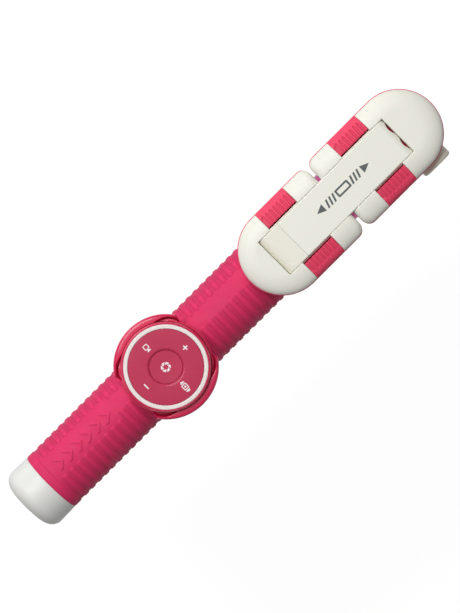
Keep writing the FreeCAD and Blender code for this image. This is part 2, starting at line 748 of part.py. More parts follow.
def make_cradle():
    """Open cup with a low rim and two tall curved wings that hold the remote."""
    floor, floor_top = CRADLE_FLOOR_Z
    cup = rod("z", CRADLE_R, (floor, CRADLE_RIM_Z), (REMOTE_X, 0))
    cup = soften(cup, 1.2, lambda e: lies_at(e, "Z", floor))
    for side, (start, end) in WING_ENDS.items():
        wing = rod("z", WING_R, (floor, WING_TOP_Z), (REMOTE_X, side * WING_SHIFT))
        wing = soften(wing, 1.2, lambda e: lies_at(e, "Z", floor) or lies_at(e, "Z", WING_TOP_Z))
        wing = wing.common(sector_z(REMOTE_X, start, end, 2 * WING_R, (floor, WING_TOP_Z)))
        cup = cup.fuse(wing)
    cup = cup.cut(rod("z", CRADLE_BORE_R, (floor_top, WING_TOP_Z + 1), (REMOTE_X, 0)))
    cup = cup.cut(rod("x", GRIP_R + 0.7, (REMOTE_X - 2 * CRADLE_R, REMOTE_X + 2 * CRADLE_R)))
    for screw_x in CRADLE_SCREW_X:
        cup = cup.cut(rod("z", SMALL_SCREW_R + 0.1, CRADLE_FLOOR_Z, (screw_x, 0)))
        cup = cup.cut(rod("z", SMALL_HEAD_R + 0.1, (floor_top - 0.9, floor_top), (screw_x, 0)))
    return cup


def make_cradle_screws():
    """Two screws from the cup's floor into the saddle, their heads sunk in the floor."""
    screws = []
    seat = CRADLE_FLOOR_Z[1] - 0.9
    for screw_x in CRADLE_SCREW_X:
        shank = rod("z", SMALL_SCREW_R, (SADDLE_GROOVE_R + SLIDE_CLEARANCE, seat), (screw_x, 0))
        head = rod("z", SMALL_HEAD_R, (seat, seat + 0.8), (screw_x, 0))
        screws.append(shank.fuse(head))
    return Part.makeCompound(screws)


def case_screw_places():
    """Centres of the remote's three case screws."""
    radius = REMOTE_R - SHELL_WALL - 2.2
    places = []
    for angle in CASE_SCREW_ANGLES:
        a = math.radians(angle)
        places.append((REMOTE_X + radius * math.cos(a), radius * math.sin(a)))
    return places


def make_remote_bottom():
    """Lower shell with the battery opening, the cell's holder and three screw posts."""
    split = REMOTE_SPLIT_Z
    floor_top = REMOTE_Z0 + FLOOR_WALL
    centre = (REMOTE_X, 0)
    shell = rod("z", REMOTE_R, (REMOTE_Z0, split), centre)
    shell = soften(shell, 1.0, lambda e: lies_at(e, "Z", REMOTE_Z0))
    shell = shell.cut(rod("z", REMOTE_R - SHELL_WALL, (floor_top, split), centre))
    opening = rod("z", DOOR_R + SLIDE_CLEARANCE, (REMOTE_Z0, floor_top), centre)
    holder = pipe("z", COIN_R + 1.4, COIN_R + 0.2, (floor_top, floor_top + 3.0), centre)
    shell = shell.cut(opening).fuse(holder)
    for at in case_screw_places():
        post = rod("z", 1.6, (REMOTE_Z0 + 1.0, split - 0.6), at)
        shell = shell.fuse(post).cut(rod("z", CASE_SCREW_R + SLIDE_CLEARANCE, (REMOTE_Z0, split), at))
        shell = shell.cut(rod("z", CASE_HEAD_R + 0.1, (REMOTE_Z0, REMOTE_Z0 + 1.3), at))
    return shell.removeSplitter()


def make_remote_top():
    """Upper rim of the remote's case, with its rounded edge and an inner deck."""
    split = REMOTE_SPLIT_Z
    centre = (REMOTE_X, 0)
    shell = rod("z", REMOTE_R, (split, REMOTE_Z1), centre)
    shell = soften(shell, 0.9, lambda e: lies_at(e, "Z", REMOTE_Z1))
    shell = shell.cut(rod("z", RING_R, (split, REMOTE_Z1), centre))
    shell = shell.fuse(pipe("z", RING_R, DISC_R - 1.2, DECK_Z, centre))
    for at in case_screw_places():
        post = rod("z", 1.5, (split - 0.5, DECK_Z[0] + 0.3), at)
        shell = shell.fuse(post).cut(rod("z", CASE_SCREW_R, (split - 0.6, split + 0.9), at))
    return shell.removeSplitter()


def make_white_ring():
    """Trim ring round the keys."""
    z = (DECK_Z[1], REMOTE_Z1 + 0.1)
    ring = pipe("z", RING_R, DISC_R + 0.05, z, (REMOTE_X, 0))
    return soften(ring, 0.25, lambda e: lies_at(e, "Z", z[1]))


def make_direction_key():
    """Ring key that rocks on two round ribs under it, along X."""
    top = REMOTE_Z1
    inner = KEY_R + KEY_GAP
    outer = DISC_R - KEY_GAP
    outline = [
        (inner, ROCKER_BASE_Z),
        (outer, ROCKER_BASE_Z),
        (outer, top - 0.15),
        (outer - 0.15, top),
        (inner + 0.55, top),
        (inner, top - 0.5),
    ]
    key = turn_z(outline, REMOTE_X)
    for side in (1, -1):
        span = sorted(REMOTE_X + side * x for x in ROCKER_RIB_X)
        key = key.fuse(rod("x", ROCKER_RIB_R, span, (0, ROCKER_BASE_Z)))
    return key.removeSplitter()


def outer_switch_places():
    """Centres of the four switches under the ring key."""
    places = []
    for dx, dy in ((1, 0), (-1, 0), (0, 1), (0, -1)):
        places.append((REMOTE_X + dx * SWITCH_R, dy * SWITCH_R))
    return places


def make_key_mat():
    """Silicone mat under the ring key; two trunnions along Y let it tip on the deck."""
    mat = pipe("z", DISC_R - 1.4, KEY_R + 2 * KEY_GAP, MAT_Z, (REMOTE_X, 0))
    extras = [rod("z", PLUNGER_R, (PLUNGER_Z0, MAT_Z[0]), at) for at in outer_switch_places()]
    for side in (1, -1):
        span = sorted(side * y for y in TRUNNION_Y)
        extras.append(rod("y", TRUNNION_R, span, (REMOTE_X, sum(MAT_Z) / 2)))
    return mat.multiFuse(extras).removeSplitter()


def make_shutter_key():
    """Centre key, slightly dished, with a stem down to its switch."""
    top = REMOTE_Z1 - SHUTTER_DROP
    key = rod("z", KEY_R, (SHUTTER_BASE_Z, top), (REMOTE_X, 0))
    key = soften(key, 0.3, lambda e: lies_at(e, "Z", top))
    dish = Part.makeSphere(DISH_R, Vector(REMOTE_X, 0, top + DISH_R - DISH_DEPTH))
    stem_z = (BOARD_Z[1] + DOME_RISE + 0.45, SHUTTER_BASE_Z)
    return key.cut(dish).fuse(rod("z", STEM_R, stem_z, (REMOTE_X, 0))).removeSplitter()


def make_circuit_board():
    """Round board with an edge notch for each case post."""
    board = rod("z", REMOTE_R - SHELL_WALL - 0.3, BOARD_Z, (REMOTE_X, 0))
    for at in case_screw_places():
        board = board.cut(rod("z", 2.4, BOARD_Z, at))
    return board


def make_dome_switches():
    """Five metal domes on the board."""
    z0 = BOARD_Z[1]
    domes = []
    for x, y in outer_switch_places() + [(REMOTE_X, 0)]:
        dome = Part.makeSphere(DOME_SPHERE_R, Vector(x, y, z0 + DOME_RISE - DOME_SPHERE_R))
        domes.append(dome.common(rod("z", 2.0, (z0, z0 + 1.0), (x, y))))
    return Part.makeCompound(domes)


def make_battery_contacts():
    """Two sprung strips between the board and the cell."""
    x = (REMOTE_X - 5.0, REMOTE_X + 5.0)
    z = (COIN_Z[1] + 0.02, BOARD_Z[0])
    strips = [block(x, (y - 1.2, y + 1.2), z) for y in (-CONTACT_Y, CONTACT_Y)]
    return Part.makeCompound(strips)


def make_battery_door():
    """Round door that turns with a coin to lock."""
    z = (REMOTE_Z0, REMOTE_Z0 + DOOR_HEIGHT)
    door = rod("z", DOOR_R, z, (REMOTE_X, 0))
    door = soften(door, 0.3, lambda e: lies_at(e, "Z", z[0]))
    return door.cut(block((REMOTE_X - 6.0, REMOTE_X + 6.0), (-0.8, 0.8), (z[0], z[0] + 0.6)))


def make_remote_screws():
    """Three case screws, sunk in the bottom shell."""
    screws = []
    head_z = (REMOTE_Z0 + 0.2, REMOTE_Z0 + 1.3)
    for at in case_screw_places():
        shank = rod("z", CASE_SCREW_R, (head_z[1], REMOTE_SPLIT_Z + 0.8), at)
        screws.append(shank.fuse(rod("z", CASE_HEAD_R, head_z, at)))
    return Part.makeCompound(screws)


# ================================================================ build
def build_handle():
    save("end_cap", make_end_cap())
    save("grip_sleeve", make_grip())
    save("handle_tube", make_handle_tube())


def build_pole():
    for index in range(len(SECTION_RADII)):
        save("pole_section_%d" % (index + 1), make_section(index))
        save("slide_bush_%d" % (index + 1), make_bush(index))


def build_head():
    save("pole_ferrule", make_ferrule())
    save("swivel_screw", make_swivel_screw())
    save("head_fork", make_fork())
    save("tilt_bolt", make_tilt_bolt())
    save("tilt_washer", make_tilt_washer())
    save("tilt_knob", make_tilt_knob())
    save("tilt_knob_nut", make_tilt_nut())


def build_jaws():
    fixed_pad_u = FIXED_TIP_U - TIP_LENGTH - PAD_LENGTH
    save("fixed_jaw_base", make_fixed_jaw_base())
    save("fixed_jaw_cover", place_fixed(make_jaw_cover(FIXED_WINDOW_U, fixed_pad_u)))
    save("fixed_jaw_tips", place_fixed(make_jaw_tips(FIXED_TIP_U)))
    save("fixed_jaw_pads", place_fixed(make_jaw_pads(FIXED_TIP_U)))
    save("fixed_jaw_screws", jaw_screws(place_fixed))
    save("sliding_jaw_base", place_sliding(make_jaw_base(SLIDE_WINDOW_U, SLIDE_TIP_U)))
    save("sliding_jaw_cover", make_sliding_jaw_cover())
    save("sliding_jaw_tips", place_sliding(make_jaw_tips(SLIDE_TIP_U)))
    save("sliding_jaw_pads", place_sliding(make_jaw_pads(SLIDE_TIP_U)))
    save("sliding_jaw_screws", jaw_screws(place_sliding))


def build_clamp_box():
    pin = HINGE_PIN_R
    long_reach = WINDOW_HALF + 2.9
    save("spring_box_cover", make_spring_box_cover())
    save("spring_box_back", make_spring_box_back())
    save("slide_tongue", make_slide_tongue())
    save("clamp_springs", make_clamp_springs())
    save("box_spring_posts", spring_posts(SPRING_X[1]))
    save("tongue_spring_posts", spring_posts(SPRING_X[0]))
    save("box_screws", Part.makeCompound(box_screw_rods()))
    save("box_hinge_pin", rod("y", pin, (-BOX_HALF, BOX_HALF), (box_hinge_x(), HINGE_Z)))
    save("tongue_hinge_pin", rod("y", pin, (-long_reach, long_reach), (tongue_hinge_x(), HINGE_Z)))


def build_remote():
    save("cradle_band", make_cradle_band())
    save("remote_cradle", make_cradle())
    save("cradle_screws", make_cradle_screws())
    save("remote_bottom_shell", make_remote_bottom())
    save("remote_top_shell", make_remote_top())
    save("white_trim_ring", make_white_ring())
    save("direction_key", make_direction_key())
    save("shutter_key", make_shutter_key())
    save("key_mat", make_key_mat())
    save("circuit_board", make_circuit_board())
    save("dome_switches", make_dome_switches())
    save("battery_contacts", make_battery_contacts())
    save("coin_cell", rod("z", COIN_R, COIN_Z, (REMOTE_X, 0)))
    save("battery_door", make_battery_door())
    save("remote_screws", make_remote_screws())


os.makedirs("parts", exist_ok=True)
build_handle()
build_pole()
build_head()
build_jaws()
build_clamp_box()
build_remote()
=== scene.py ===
import json
import math

import bmesh
import bpy
import numpy as np
from mathutils import Matrix, Vector


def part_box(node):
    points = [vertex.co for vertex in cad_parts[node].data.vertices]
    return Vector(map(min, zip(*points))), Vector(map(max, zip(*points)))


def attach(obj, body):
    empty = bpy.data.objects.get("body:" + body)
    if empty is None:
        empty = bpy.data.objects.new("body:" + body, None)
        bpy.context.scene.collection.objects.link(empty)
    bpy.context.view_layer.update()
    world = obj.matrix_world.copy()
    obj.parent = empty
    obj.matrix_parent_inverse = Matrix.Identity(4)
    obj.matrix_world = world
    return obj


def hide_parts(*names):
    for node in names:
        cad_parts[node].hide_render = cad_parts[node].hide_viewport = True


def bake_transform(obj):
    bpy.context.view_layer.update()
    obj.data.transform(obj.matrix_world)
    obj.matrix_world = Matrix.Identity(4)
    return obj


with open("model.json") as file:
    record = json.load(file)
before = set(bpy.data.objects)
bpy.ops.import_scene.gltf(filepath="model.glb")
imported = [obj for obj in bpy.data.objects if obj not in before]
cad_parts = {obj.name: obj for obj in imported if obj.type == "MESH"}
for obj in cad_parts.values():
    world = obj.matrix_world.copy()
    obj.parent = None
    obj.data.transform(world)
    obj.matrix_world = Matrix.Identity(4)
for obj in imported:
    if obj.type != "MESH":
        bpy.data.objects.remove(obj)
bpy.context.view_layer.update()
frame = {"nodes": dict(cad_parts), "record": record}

# Folded selfie stick. +X runs along the pole, +Z is the way the remote's keys face.
# Shapes are worked out in millimetres from the CAD boxes and written in metres.
MM = 0.001
FIT_GAP = 0.02      # millimetres left between pieces that fit together


# ---------------------------------------------------------------- frame sizes
def cad_box(node):
    """Lowest and highest corners of a CAD node, in millimetres."""
    low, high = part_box(node)
    return np.array(low) / MM, np.array(high) / MM


def half_width(low, high):
    """Radius of a round node, from its box."""
    return (high[1] - low[1]) / 2


cap_low, cap_high = cad_box("end_cap")
grip_low, grip_high = cad_box("grip_sleeve")
tube_low, tube_high = cad_box("handle_tube")
band_low, band_high = cad_box("cradle_band")
cradle_low, cradle_high = cad_box("remote_cradle")
case_low, case_high = cad_box("remote_top_shell")
ring_low, ring_high = cad_box("white_trim_ring")
rocker_low, rocker_high = cad_box("direction_key")
shutter_low, shutter_high = cad_box("shutter_key")
box_high = cad_box("spring_box_cover")[1]

TUBE_R = tube_high[1]
REMOTE_X = (case_low[0] + case_high[0]) / 2
CASE_R = half_width(case_low, case_high)
CASE_TOP = case_high[2]
CASE_SPLIT = case_low[2] + 0.5
RING_R = half_width(ring_low, ring_high)
ROCKER_R = half_width(rocker_low, rocker_high)
KEY_EDGE_R = ROCKER_R + 0.4      # the drawn ring key is a little wider than the CAD's
SHUTTER_R = half_width(shutter_low, shutter_high)
REMOTE_CENTRE = np.array([REMOTE_X, 0.0, 0.0])
KEY_DISH = 0.22      # how far the centre key's face is hollowed


# ---------------------------------------------------------------- node shaders
def new_shader(name):
    """A material with its node tree and its Principled node."""
    material = bpy.data.materials.new(name)
    material.use_nodes = True
    tree = material.node_tree
    return material, tree, tree.nodes["Principled BSDF"]


def linear(rgb):
    """Linear colour from display values between 0 and 255."""
    return [((c / 255 + 0.055) / 1.055) ** 2.4 for c in rgb] + [1.0]


def noise(tree, scale, detail=3.0, stretch=None):
    """Noise in the row frame; scale is features per metre, stretch scales the axes."""
    place = tree.nodes.new("ShaderNodeTexCoord")
    vector = place.outputs["Object"]
    if stretch:
        mapping = tree.nodes.new("ShaderNodeMapping")
        mapping.inputs["Scale"].default_value = stretch
        tree.links.new(vector, mapping.inputs["Vector"])
        vector = mapping.outputs["Vector"]
    texture = tree.nodes.new("ShaderNodeTexNoise")
    texture.inputs["Scale"].default_value = scale
    texture.inputs["Detail"].default_value = detail
    tree.links.new(vector, texture.inputs["Vector"])
    return texture.outputs["Fac"]


def remap(tree, value, low, high, source=(0.3, 0.7)):
    """Map a signal from its source range onto low to high."""
    node = tree.nodes.new("ShaderNodeMapRange")
    node.inputs["From Min"].default_value = source[0]
    node.inputs["From Max"].default_value = source[1]
    node.inputs["To Min"].default_value = low
    node.inputs["To Max"].default_value = high
    tree.links.new(value, node.inputs["Value"])
    return node.outputs["Result"]


def blend_colours(tree, factor, first, second):
    """Mix two colours by a 0 to 1 signal; either may be a socket."""
    node = tree.nodes.new("ShaderNodeMix")
    node.data_type = "RGBA"
    tree.links.new(factor, node.inputs["Factor"])
    for socket, value in (("A", first), ("B", second)):
        target = [s for s in node.inputs if s.name == socket and s.type == "RGBA"][0]
        if isinstance(value, list):
            target.default_value = value
        else:
            tree.links.new(value, target)
    return [s for s in node.outputs if s.type == "RGBA"][0]


def scaled(colour, factor):
    """A colour made lighter or darker."""
    return [min(1.0, c * factor) for c in colour[:3]] + [1.0]


# Edge mask for paling sharp edges, standing partly for wear and partly for a painted highlight.
def worn_and_highlit_edges(tree):
    """0 on flats and 1 on sharp outer edges."""
    geometry = tree.nodes.new("ShaderNodeNewGeometry")
    return remap(tree, geometry.outputs["Pointiness"], 0.0, 1.0, (0.52, 0.60))


def add_bump(tree, shader, layers, edge_mm=0.0):
    """Chain bump layers (height, distance in mm, strength) over softly rounded edges."""
    normal = None
    if edge_mm:
        edge = tree.nodes.new("ShaderNodeBevel")
        edge.samples = 6
        edge.inputs["Radius"].default_value = edge_mm * MM
        normal = edge.outputs["Normal"]
    for height, distance, strength in layers:
        bump = tree.nodes.new("ShaderNodeBump")
        bump.inputs["Distance"].default_value = distance * MM
        bump.inputs["Strength"].default_value = strength
        tree.links.new(height, bump.inputs["Height"])
        if normal:
            tree.links.new(normal, bump.inputs["Normal"])
        normal = bump.outputs["Normal"]
    tree.links.new(normal, shader.inputs["Normal"])


# Features per metre of the three broad noises in moulded parts.
MOTTLE_SCALE = 70.0
WAVES_SCALE = 120.0
ROUGHNESS_SCALE = 240.0
# Fraction of the colour left where shade is painted fully into a groove.
PAINTED_RECESS_SHADE = 0.82
SHEEN_TINT = (1.0, 0.6, 0.85, 1.0)


def moulded(
    name, rgb, rough, coat=0.0, grain=2600.0, grain_mm=0.02, mottle=0.03, soft=0.0,
    wear_and_highlight=1.1, edge=0.0, shine=0.5, waves_mm=0.05, sheen=0.0,
):
    """Moulded plastic or rubber: mottled colour, fine grain, edges paled partly by wear and partly as
    a painted highlight.

    A mesh's per-vertex attribute of painted shade, 0 to 1, darkens the colour towards a set fraction
    of itself: shade painted into grooves.
    Sheen is the soft pale bloom of silicone seen at a slant.
    """
    material, tree, shader = new_shader(name)
    colour = linear(rgb)
    broad = remap(tree, noise(tree, MOTTLE_SCALE), 0.0, 1.0)
    body = blend_colours(tree, broad, scaled(colour, 1 - mottle), scaled(colour, 1 + mottle))
    # Sharp outer edges are paled: partly wear, partly a painted edge highlight.
    worn_and_highlit = blend_colours(tree, worn_and_highlit_edges(tree), body, scaled(colour, wear_and_highlight))
    # Painted shade: the mesh's attribute darkens the colour in grooves and troughs.
    painted_shade = tree.nodes.new("ShaderNodeAttribute")
    painted_shade.attribute_name = "painted_shade"
    shaded = blend_colours(tree, painted_shade.outputs["Fac"], worn_and_highlit, scaled(colour, PAINTED_RECESS_SHADE))
    tree.links.new(shaded, shader.inputs["Base Color"])
    uneven = remap(tree, noise(tree, ROUGHNESS_SCALE), rough * 0.9, rough * 1.1)
    tree.links.new(uneven, shader.inputs["Roughness"])
    fine = (noise(tree, grain), grain_mm, 0.5)
    waves = (noise(tree, WAVES_SCALE), waves_mm, 0.15)
    add_bump(tree, shader, [fine, waves], edge)
    shader.inputs["Sheen Weight"].default_value = sheen
    shader.inputs["Sheen Roughness"].default_value = 0.35
    shader.inputs["Sheen Tint"].default_value = SHEEN_TINT
    shader.inputs["Specular IOR Level"].default_value = shine
    shader.inputs["Coat Weight"].default_value = coat
    shader.inputs["Coat Roughness"].default_value = 0.12
    shader.inputs["Subsurface Weight"].default_value = soft
    shader.inputs["Subsurface Radius"].default_value = (0.004, 0.0015, 0.0015)
    shader.inputs["Subsurface Scale"].default_value = 0.4
    return material


def metal(name, rgb, rough, stretch, lines=900.0, metallic=1.0):
    """Metal with drawn or turned lines along the axes that stretch leaves long."""
    material, tree, shader = new_shader(name)
    colour = linear(rgb)
    streaks = noise(tree, lines, 2.0, stretch)
    shade = remap(tree, streaks, 0.0, 1.0)
    body = blend_colours(tree, shade, scaled(colour, 0.9), scaled(colour, 1.08))
    tree.links.new(body, shader.inputs["Base Color"])
    tree.links.new(remap(tree, streaks, rough * 0.75, rough * 1.3), shader.inputs["Roughness"])
    add_bump(tree, shader, [(streaks, 0.01, 0.4)], 0.1)
    shader.inputs["Metallic"].default_value = metallic
    return material


def circuit_material(name):
    """Green solder resist over a grid of darker and lighter copper tracks."""
    material, tree, shader = new_shader(name)
    place = tree.nodes.new("ShaderNodeTexCoord")
    brick = tree.nodes.new("ShaderNodeTexBrick")
    brick.inputs["Scale"].default_value = 500.0
    brick.inputs["Mortar Size"].default_value = 0.06
    brick.inputs["Color1"].default_value = linear((18, 92, 50))
    brick.inputs["Color2"].default_value = linear((22, 104, 56))
    brick.inputs["Mortar"].default_value = linear((60, 140, 84))
    tree.links.new(place.outputs["Object"], brick.inputs["Vector"])
    tree.links.new(brick.outputs["Color"], shader.inputs["Base Color"])
    tree.links.new(remap(tree, noise(tree, 400.0), 0.3, 0.45), shader.inputs["Roughness"])
    add_bump(tree, shader, [(brick.outputs["Fac"], 0.03, 0.6)])
    return material


# Stretches that draw a metal's lines out along one axis.
LONG_X = (0.03, 1.0, 1.0)
LONG_Y = (1.0, 0.03, 1.0)
LONG_Z = (1.0, 1.0, 0.05)
EVEN = (1.0, 1.0, 1.0)
# Smooth white or cream mouldings.
FINE = {
    "grain": 2400.0, "grain_mm": 0.01, "mottle": 0.012, "soft": 0.05, "wear_and_highlight": 1.03, "edge": 0.2,
}
materials = {
    "pink_silicone": moulded(
        "silicone_pink", (222, 46, 101), 0.66,
        grain=3200.0, mottle=0.035, soft=0.1, shine=0.3, sheen=0.3,
    ),
    "pink_gloss_plastic": moulded(
        "plastic_pink", (214, 34, 84), 0.34,
        coat=0.15, grain=2400.0, grain_mm=0.002, soft=0.03, edge=0.15, waves_mm=0.02,
    ),
    "white_plastic": moulded("plastic_white", (238, 237, 226), 0.5, **FINE),
    "cream_plastic": moulded("plastic_cream", (238, 235, 222), 0.5, **FINE),
    "ring_plastic": moulded(
        "plastic_ring", (240, 230, 226), 0.4, grain_mm=0.004, mottle=0.012, soft=0.03, wear_and_highlight=1.02
    ),
    "key_plastic": moulded(
        "plastic_key", (194, 44, 83), 0.55, coat=0.45, grain=5200.0, grain_mm=0.01,
        mottle=0.02, soft=0.02, wear_and_highlight=1.15, shine=0.3, waves_mm=0.01,
    ),
    "anodised_tube": metal("tube_anodised", (176, 58, 128), 0.36, LONG_X, metallic=0.75),
    "polished_tube": metal("tube_polished", (208, 209, 212), 0.2, LONG_X),
    "bush_plastic": moulded(
        "acetal_black", (44, 44, 46), 0.4, grain=1800.0, grain_mm=0.01, mottle=0.05, wear_and_highlight=1.6, edge=0.1
    ),
    "steel": metal("steel_plated", (186, 187, 190), 0.3, LONG_Y, 1500.0),
    "spring_steel": metal("steel_spring", (150, 150, 153), 0.28, EVEN, 2600.0),
    "cell_steel": metal("steel_cell", (198, 198, 196), 0.24, LONG_Y, 2000.0),
    "contact_metal": metal("contact_strip", (214, 186, 112), 0.28, LONG_X, 1800.0),
    "brass": metal("brass_turned", (206, 168, 92), 0.3, LONG_Z, 1400.0),
    "clear_silicone": moulded(
        "silicone_grey", (186, 186, 188), 0.5, grain=2200.0, grain_mm=0.01, soft=0.3, wear_and_highlight=1.05
    ),
    "board_green": circuit_material("solder_resist"),
}
# Pieces whose tint differs a little from the rest of their slot; the knob's white is made paler as
# painted fill light, since it sits in the clamp's shade.
pad_rubber = moulded(
    "pad_rubber", (240, 72, 106), 0.6, grain=3200.0, mottle=0.02, soft=0.1, shine=0.3
)
cap_white = moulded("plastic_cap", (229, 229, 225), 0.45, **FINE)
knob_white_fill_lit = moulded("plastic_knob_painted_fill", (246, 244, 226), 0.5, **FINE)
INK = {"grain": 5200.0, "grain_mm": 0.004, "wear_and_highlight": 1.0}
ink_white = moulded("ink_white", (246, 238, 240), 0.45, mottle=0.01, **INK)
ink_dark = moulded("ink_dark", (84, 90, 90), 0.45, mottle=0.03, **INK)


# ---------------------------------------------------------------- mesh helpers
def add_piece(
    name, vertices, faces, body, slot, stands_for=(), material=None, smooth_deg=35.0, painted_shade=None
):
    """Make a mesh piece from millimetre vertices; an optional per-vertex amount of painted shade, 0 to
    1, darkens its colour in grooves.
    """
    mesh = bpy.data.meshes.new(name)
    mesh.from_pydata((np.asarray(vertices, float) * MM).tolist(), [], faces)
    if painted_shade is not None:
        mesh.attributes.new("painted_shade", "FLOAT", "POINT").data.foreach_set("value", np.ravel(painted_shade))
    fix = bmesh.new()
    fix.from_mesh(mesh)
    bmesh.ops.remove_doubles(fix, verts=fix.verts, dist=1e-7)
    bmesh.ops.recalc_face_normals(fix, faces=fix.faces)
    fix.to_mesh(mesh)
    fix.free()
    mesh.shade_smooth()
    mesh.set_sharp_from_angle(angle=math.radians(smooth_deg))
    piece = bpy.data.objects.new(name, mesh)
    bpy.context.scene.collection.objects.link(piece)
    mesh.materials.append(material or materials[slot])
    if isinstance(body, str):
        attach(piece, body)
    else:
        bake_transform(piece)
    if stands_for:
        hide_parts(*stands_for)
    return piece


def strip_faces(rows, columns, close_rows, close_columns):
    """Quads of a grid whose vertices are listed row by row."""
    faces = []
    for i in range(rows if close_rows else rows - 1):
        for j in range(columns if close_columns else columns - 1):
            here, there = i * columns, (i + 1) % rows * columns
            k = (j + 1) % columns
            faces.append((here + j, here + k, there + k, there + j))
    return faces


def capped_faces(rows, columns):
    """Quads of an open row of closed loops, with a face over each end."""
    faces = strip_faces(rows, columns, False, True)
    faces.append(tuple(range(columns)))
    faces.append(tuple((rows - 1) * columns + j for j in reversed(range(columns))))
    return faces


def rounded(corners, steps=6):
    """Outline from (a, b, reach) corners; each is eased over its reach along both sides."""
    outline = []
    count = len(corners)
    for i, (a, b, reach) in enumerate(corners):
        here = np.array([a, b], float)
        if reach <= 0:
            outline.append(here)
            continue
        ends = []
        for other in (corners[i - 1], corners[(i + 1) % count]):
            step = np.array(other[:2], float) - here
            share = reach / max(np.linalg.norm(step), 1e-9)
            ends.append(here + step * min(share, 0.48 if other[2] > 0 else 0.98))
        for t in np.linspace(0, 1, steps + 1):
            outline.append((1 - t) ** 2 * ends[0] + 2 * t * (1 - t) * here + t * t * ends[1])
    return outline


def lathe(name, outline, axis, centre, body, slot, stands_for=(), segments=160, **look):
    """Turn a closed (along, radius) outline about an axis through centre."""
    along, first, second = {"x": (0, 1, 2), "y": (1, 2, 0), "z": (2, 0, 1)}[axis]
    outline = np.array(outline, float)
    angles = np.linspace(0, 2 * math.pi, segments, endpoint=False)
    vertices = np.zeros((len(outline), segments, 3))
    vertices[:, :, along] = outline[:, :1]
    vertices[:, :, first] = outline[:, 1:] * np.cos(angles)
    vertices[:, :, second] = outline[:, 1:] * np.sin(angles)
    vertices = vertices.reshape(-1, 3) + centre
    faces = strip_faces(len(outline), segments, True, True)
    return add_piece(name, vertices, faces, body, slot, stands_for, **look)


def prism(name, loops, z, body, slot, material):
    """Flat plate in the XY plane between heights z; inner loops are holes."""
    curve = bpy.data.curves.new(name, "CURVE")
    curve.dimensions = "2D"
    curve.fill_mode = "BOTH"
    for loop in loops:
        spline = curve.splines.new("POLY")
        spline.points.add(len(loop) - 1)
        for point, (x, y) in zip(spline.points, loop):
            point.co = (x * MM, y * MM, 0.0, 1.0)
        spline.use_cyclic_u = True
    curve.extrude = (z[1] - z[0]) / 2 * MM
    shape = bpy.data.objects.new(name + "_outline", curve)
    bpy.context.scene.collection.objects.link(shape)
    bpy.context.view_layer.update()
    depsgraph = bpy.context.evaluated_depsgraph_get()
    mesh = bpy.data.meshes.new_from_object(shape.evaluated_get(depsgraph))
    middle = (z[0] + z[1]) / 2
    vertices = [np.array(v.co) / MM + (0, 0, middle) for v in mesh.vertices]
    faces = [tuple(p.vertices) for p in mesh.polygons]
    bpy.data.objects.remove(shape)
    bpy.data.curves.remove(curve)
    bpy.data.meshes.remove(mesh)
    return add_piece(name, vertices, faces, body, slot, material=material)


def smooth_step(value, low, high):
    """0 below low, 1 above high, and an S-shaped rise between them."""
    t = np.clip((np.asarray(value, float) - low) / (high - low), 0, 1)
    return t * t * (3 - 2 * t)


# ---------------------------------------------------------------- grip
RIB_HEIGHT = 0.36
RIB_R = grip_high[1]
GRIP_R = RIB_R - RIB_HEIGHT
STRAP_GROOVE_R = RIB_R - 1.0
END_BAND_X1 = grip_low[0] + 3.4
END_ROUNDING = 0.5
FIRST_RIB_X = grip_low[0] + 6.8
RIB_PITCH = 3.8
RIB_WIDTH = 2.5
RIB_SLOPE = 0.5
RIB_COUNT = 39
# Share of full painted shade given to the grooves between the ribs.
RIB_GROOVE_PAINTED_SHADE = 0.7
# The first ribs stop at a wider front lane, which holds the chevrons.
WIDE_RIBS = 9
# Smooth lanes along the grip: middle and half width, in degrees from +Z towards +Y.
FRONT_LANES = {True: (16.2, 23.0), False: (18.0, 13.0)}
BACK_LANE = (198.0, 13.0)


def rib_arcs(wide):
    """(middle, half length) in radians of a rib's two raised stretches between the lanes."""
    front, front_half = FRONT_LANES[wide]
    back, back_half = BACK_LANE
    spans = ((front + front_half, back - back_half), (back + back_half, 360 + front - front_half))
    return [(math.radians((a + b) / 2), math.radians((b - a) / 2)) for a, b in spans]


def grip_surface(x, angle):
    """Outside radius of the sleeve, and the shade painted into its grooves between the ribs, at angles
    from +Z towards +Y.
    """
    radius = np.full_like(x, GRIP_R)
    end_band = 1 - smooth_step(x, END_BAND_X1 - 0.1, END_BAND_X1 + 0.3)
    radius += (RIB_R - GRIP_R) * end_band
    index = np.round((x - FIRST_RIB_X) / RIB_PITCH)
    from_rib = x - FIRST_RIB_X - index * RIB_PITCH
    real = (index >= 0) & (index < RIB_COUNT)
    under_band = (x > band_low[0] - RIB_WIDTH) & (x < band_high[0] + RIB_WIDTH)
    lift, ribbed = np.zeros_like(x), np.zeros_like(x)
    half_rib = RIB_WIDTH / 2
    for wide in (True, False):
        chosen = real & ~under_band & ((index < WIDE_RIBS) == wide)
        for middle, half in rib_arcs(wide):
            turn = np.abs((angle - middle + math.pi) % (2 * math.pi) - math.pi)
            past_end = np.maximum(0, (turn - half) * GRIP_R + half_rib)
            inside = half_rib - np.hypot(from_rib, past_end)
            beside = smooth_step(-past_end, -half_rib, 0)
            lift = np.maximum(lift, np.where(chosen, smooth_step(inside, 0, RIB_SLOPE), 0))
            ribbed = np.maximum(ribbed, np.where(chosen, beside, 0))
    radius += (RIB_R - GRIP_R) * lift
    into_groove = smooth_step(x, band_low[0] - 0.1, band_low[0])
    out_of_groove = smooth_step(x, band_high[0], band_high[0] + 0.1)
    radius -= (GRIP_R - STRAP_GROOVE_R) * (into_groove - out_of_groove)
    for end, side in ((grip_low[0], 1), (grip_high[0], -1)):
        depth = np.clip((x - end) * side, 0, END_ROUNDING)
        radius -= END_ROUNDING - np.sqrt(END_ROUNDING ** 2 - (END_ROUNDING - depth) ** 2)
    return radius, RIB_GROOVE_PAINTED_SHADE * ribbed * (1 - lift)


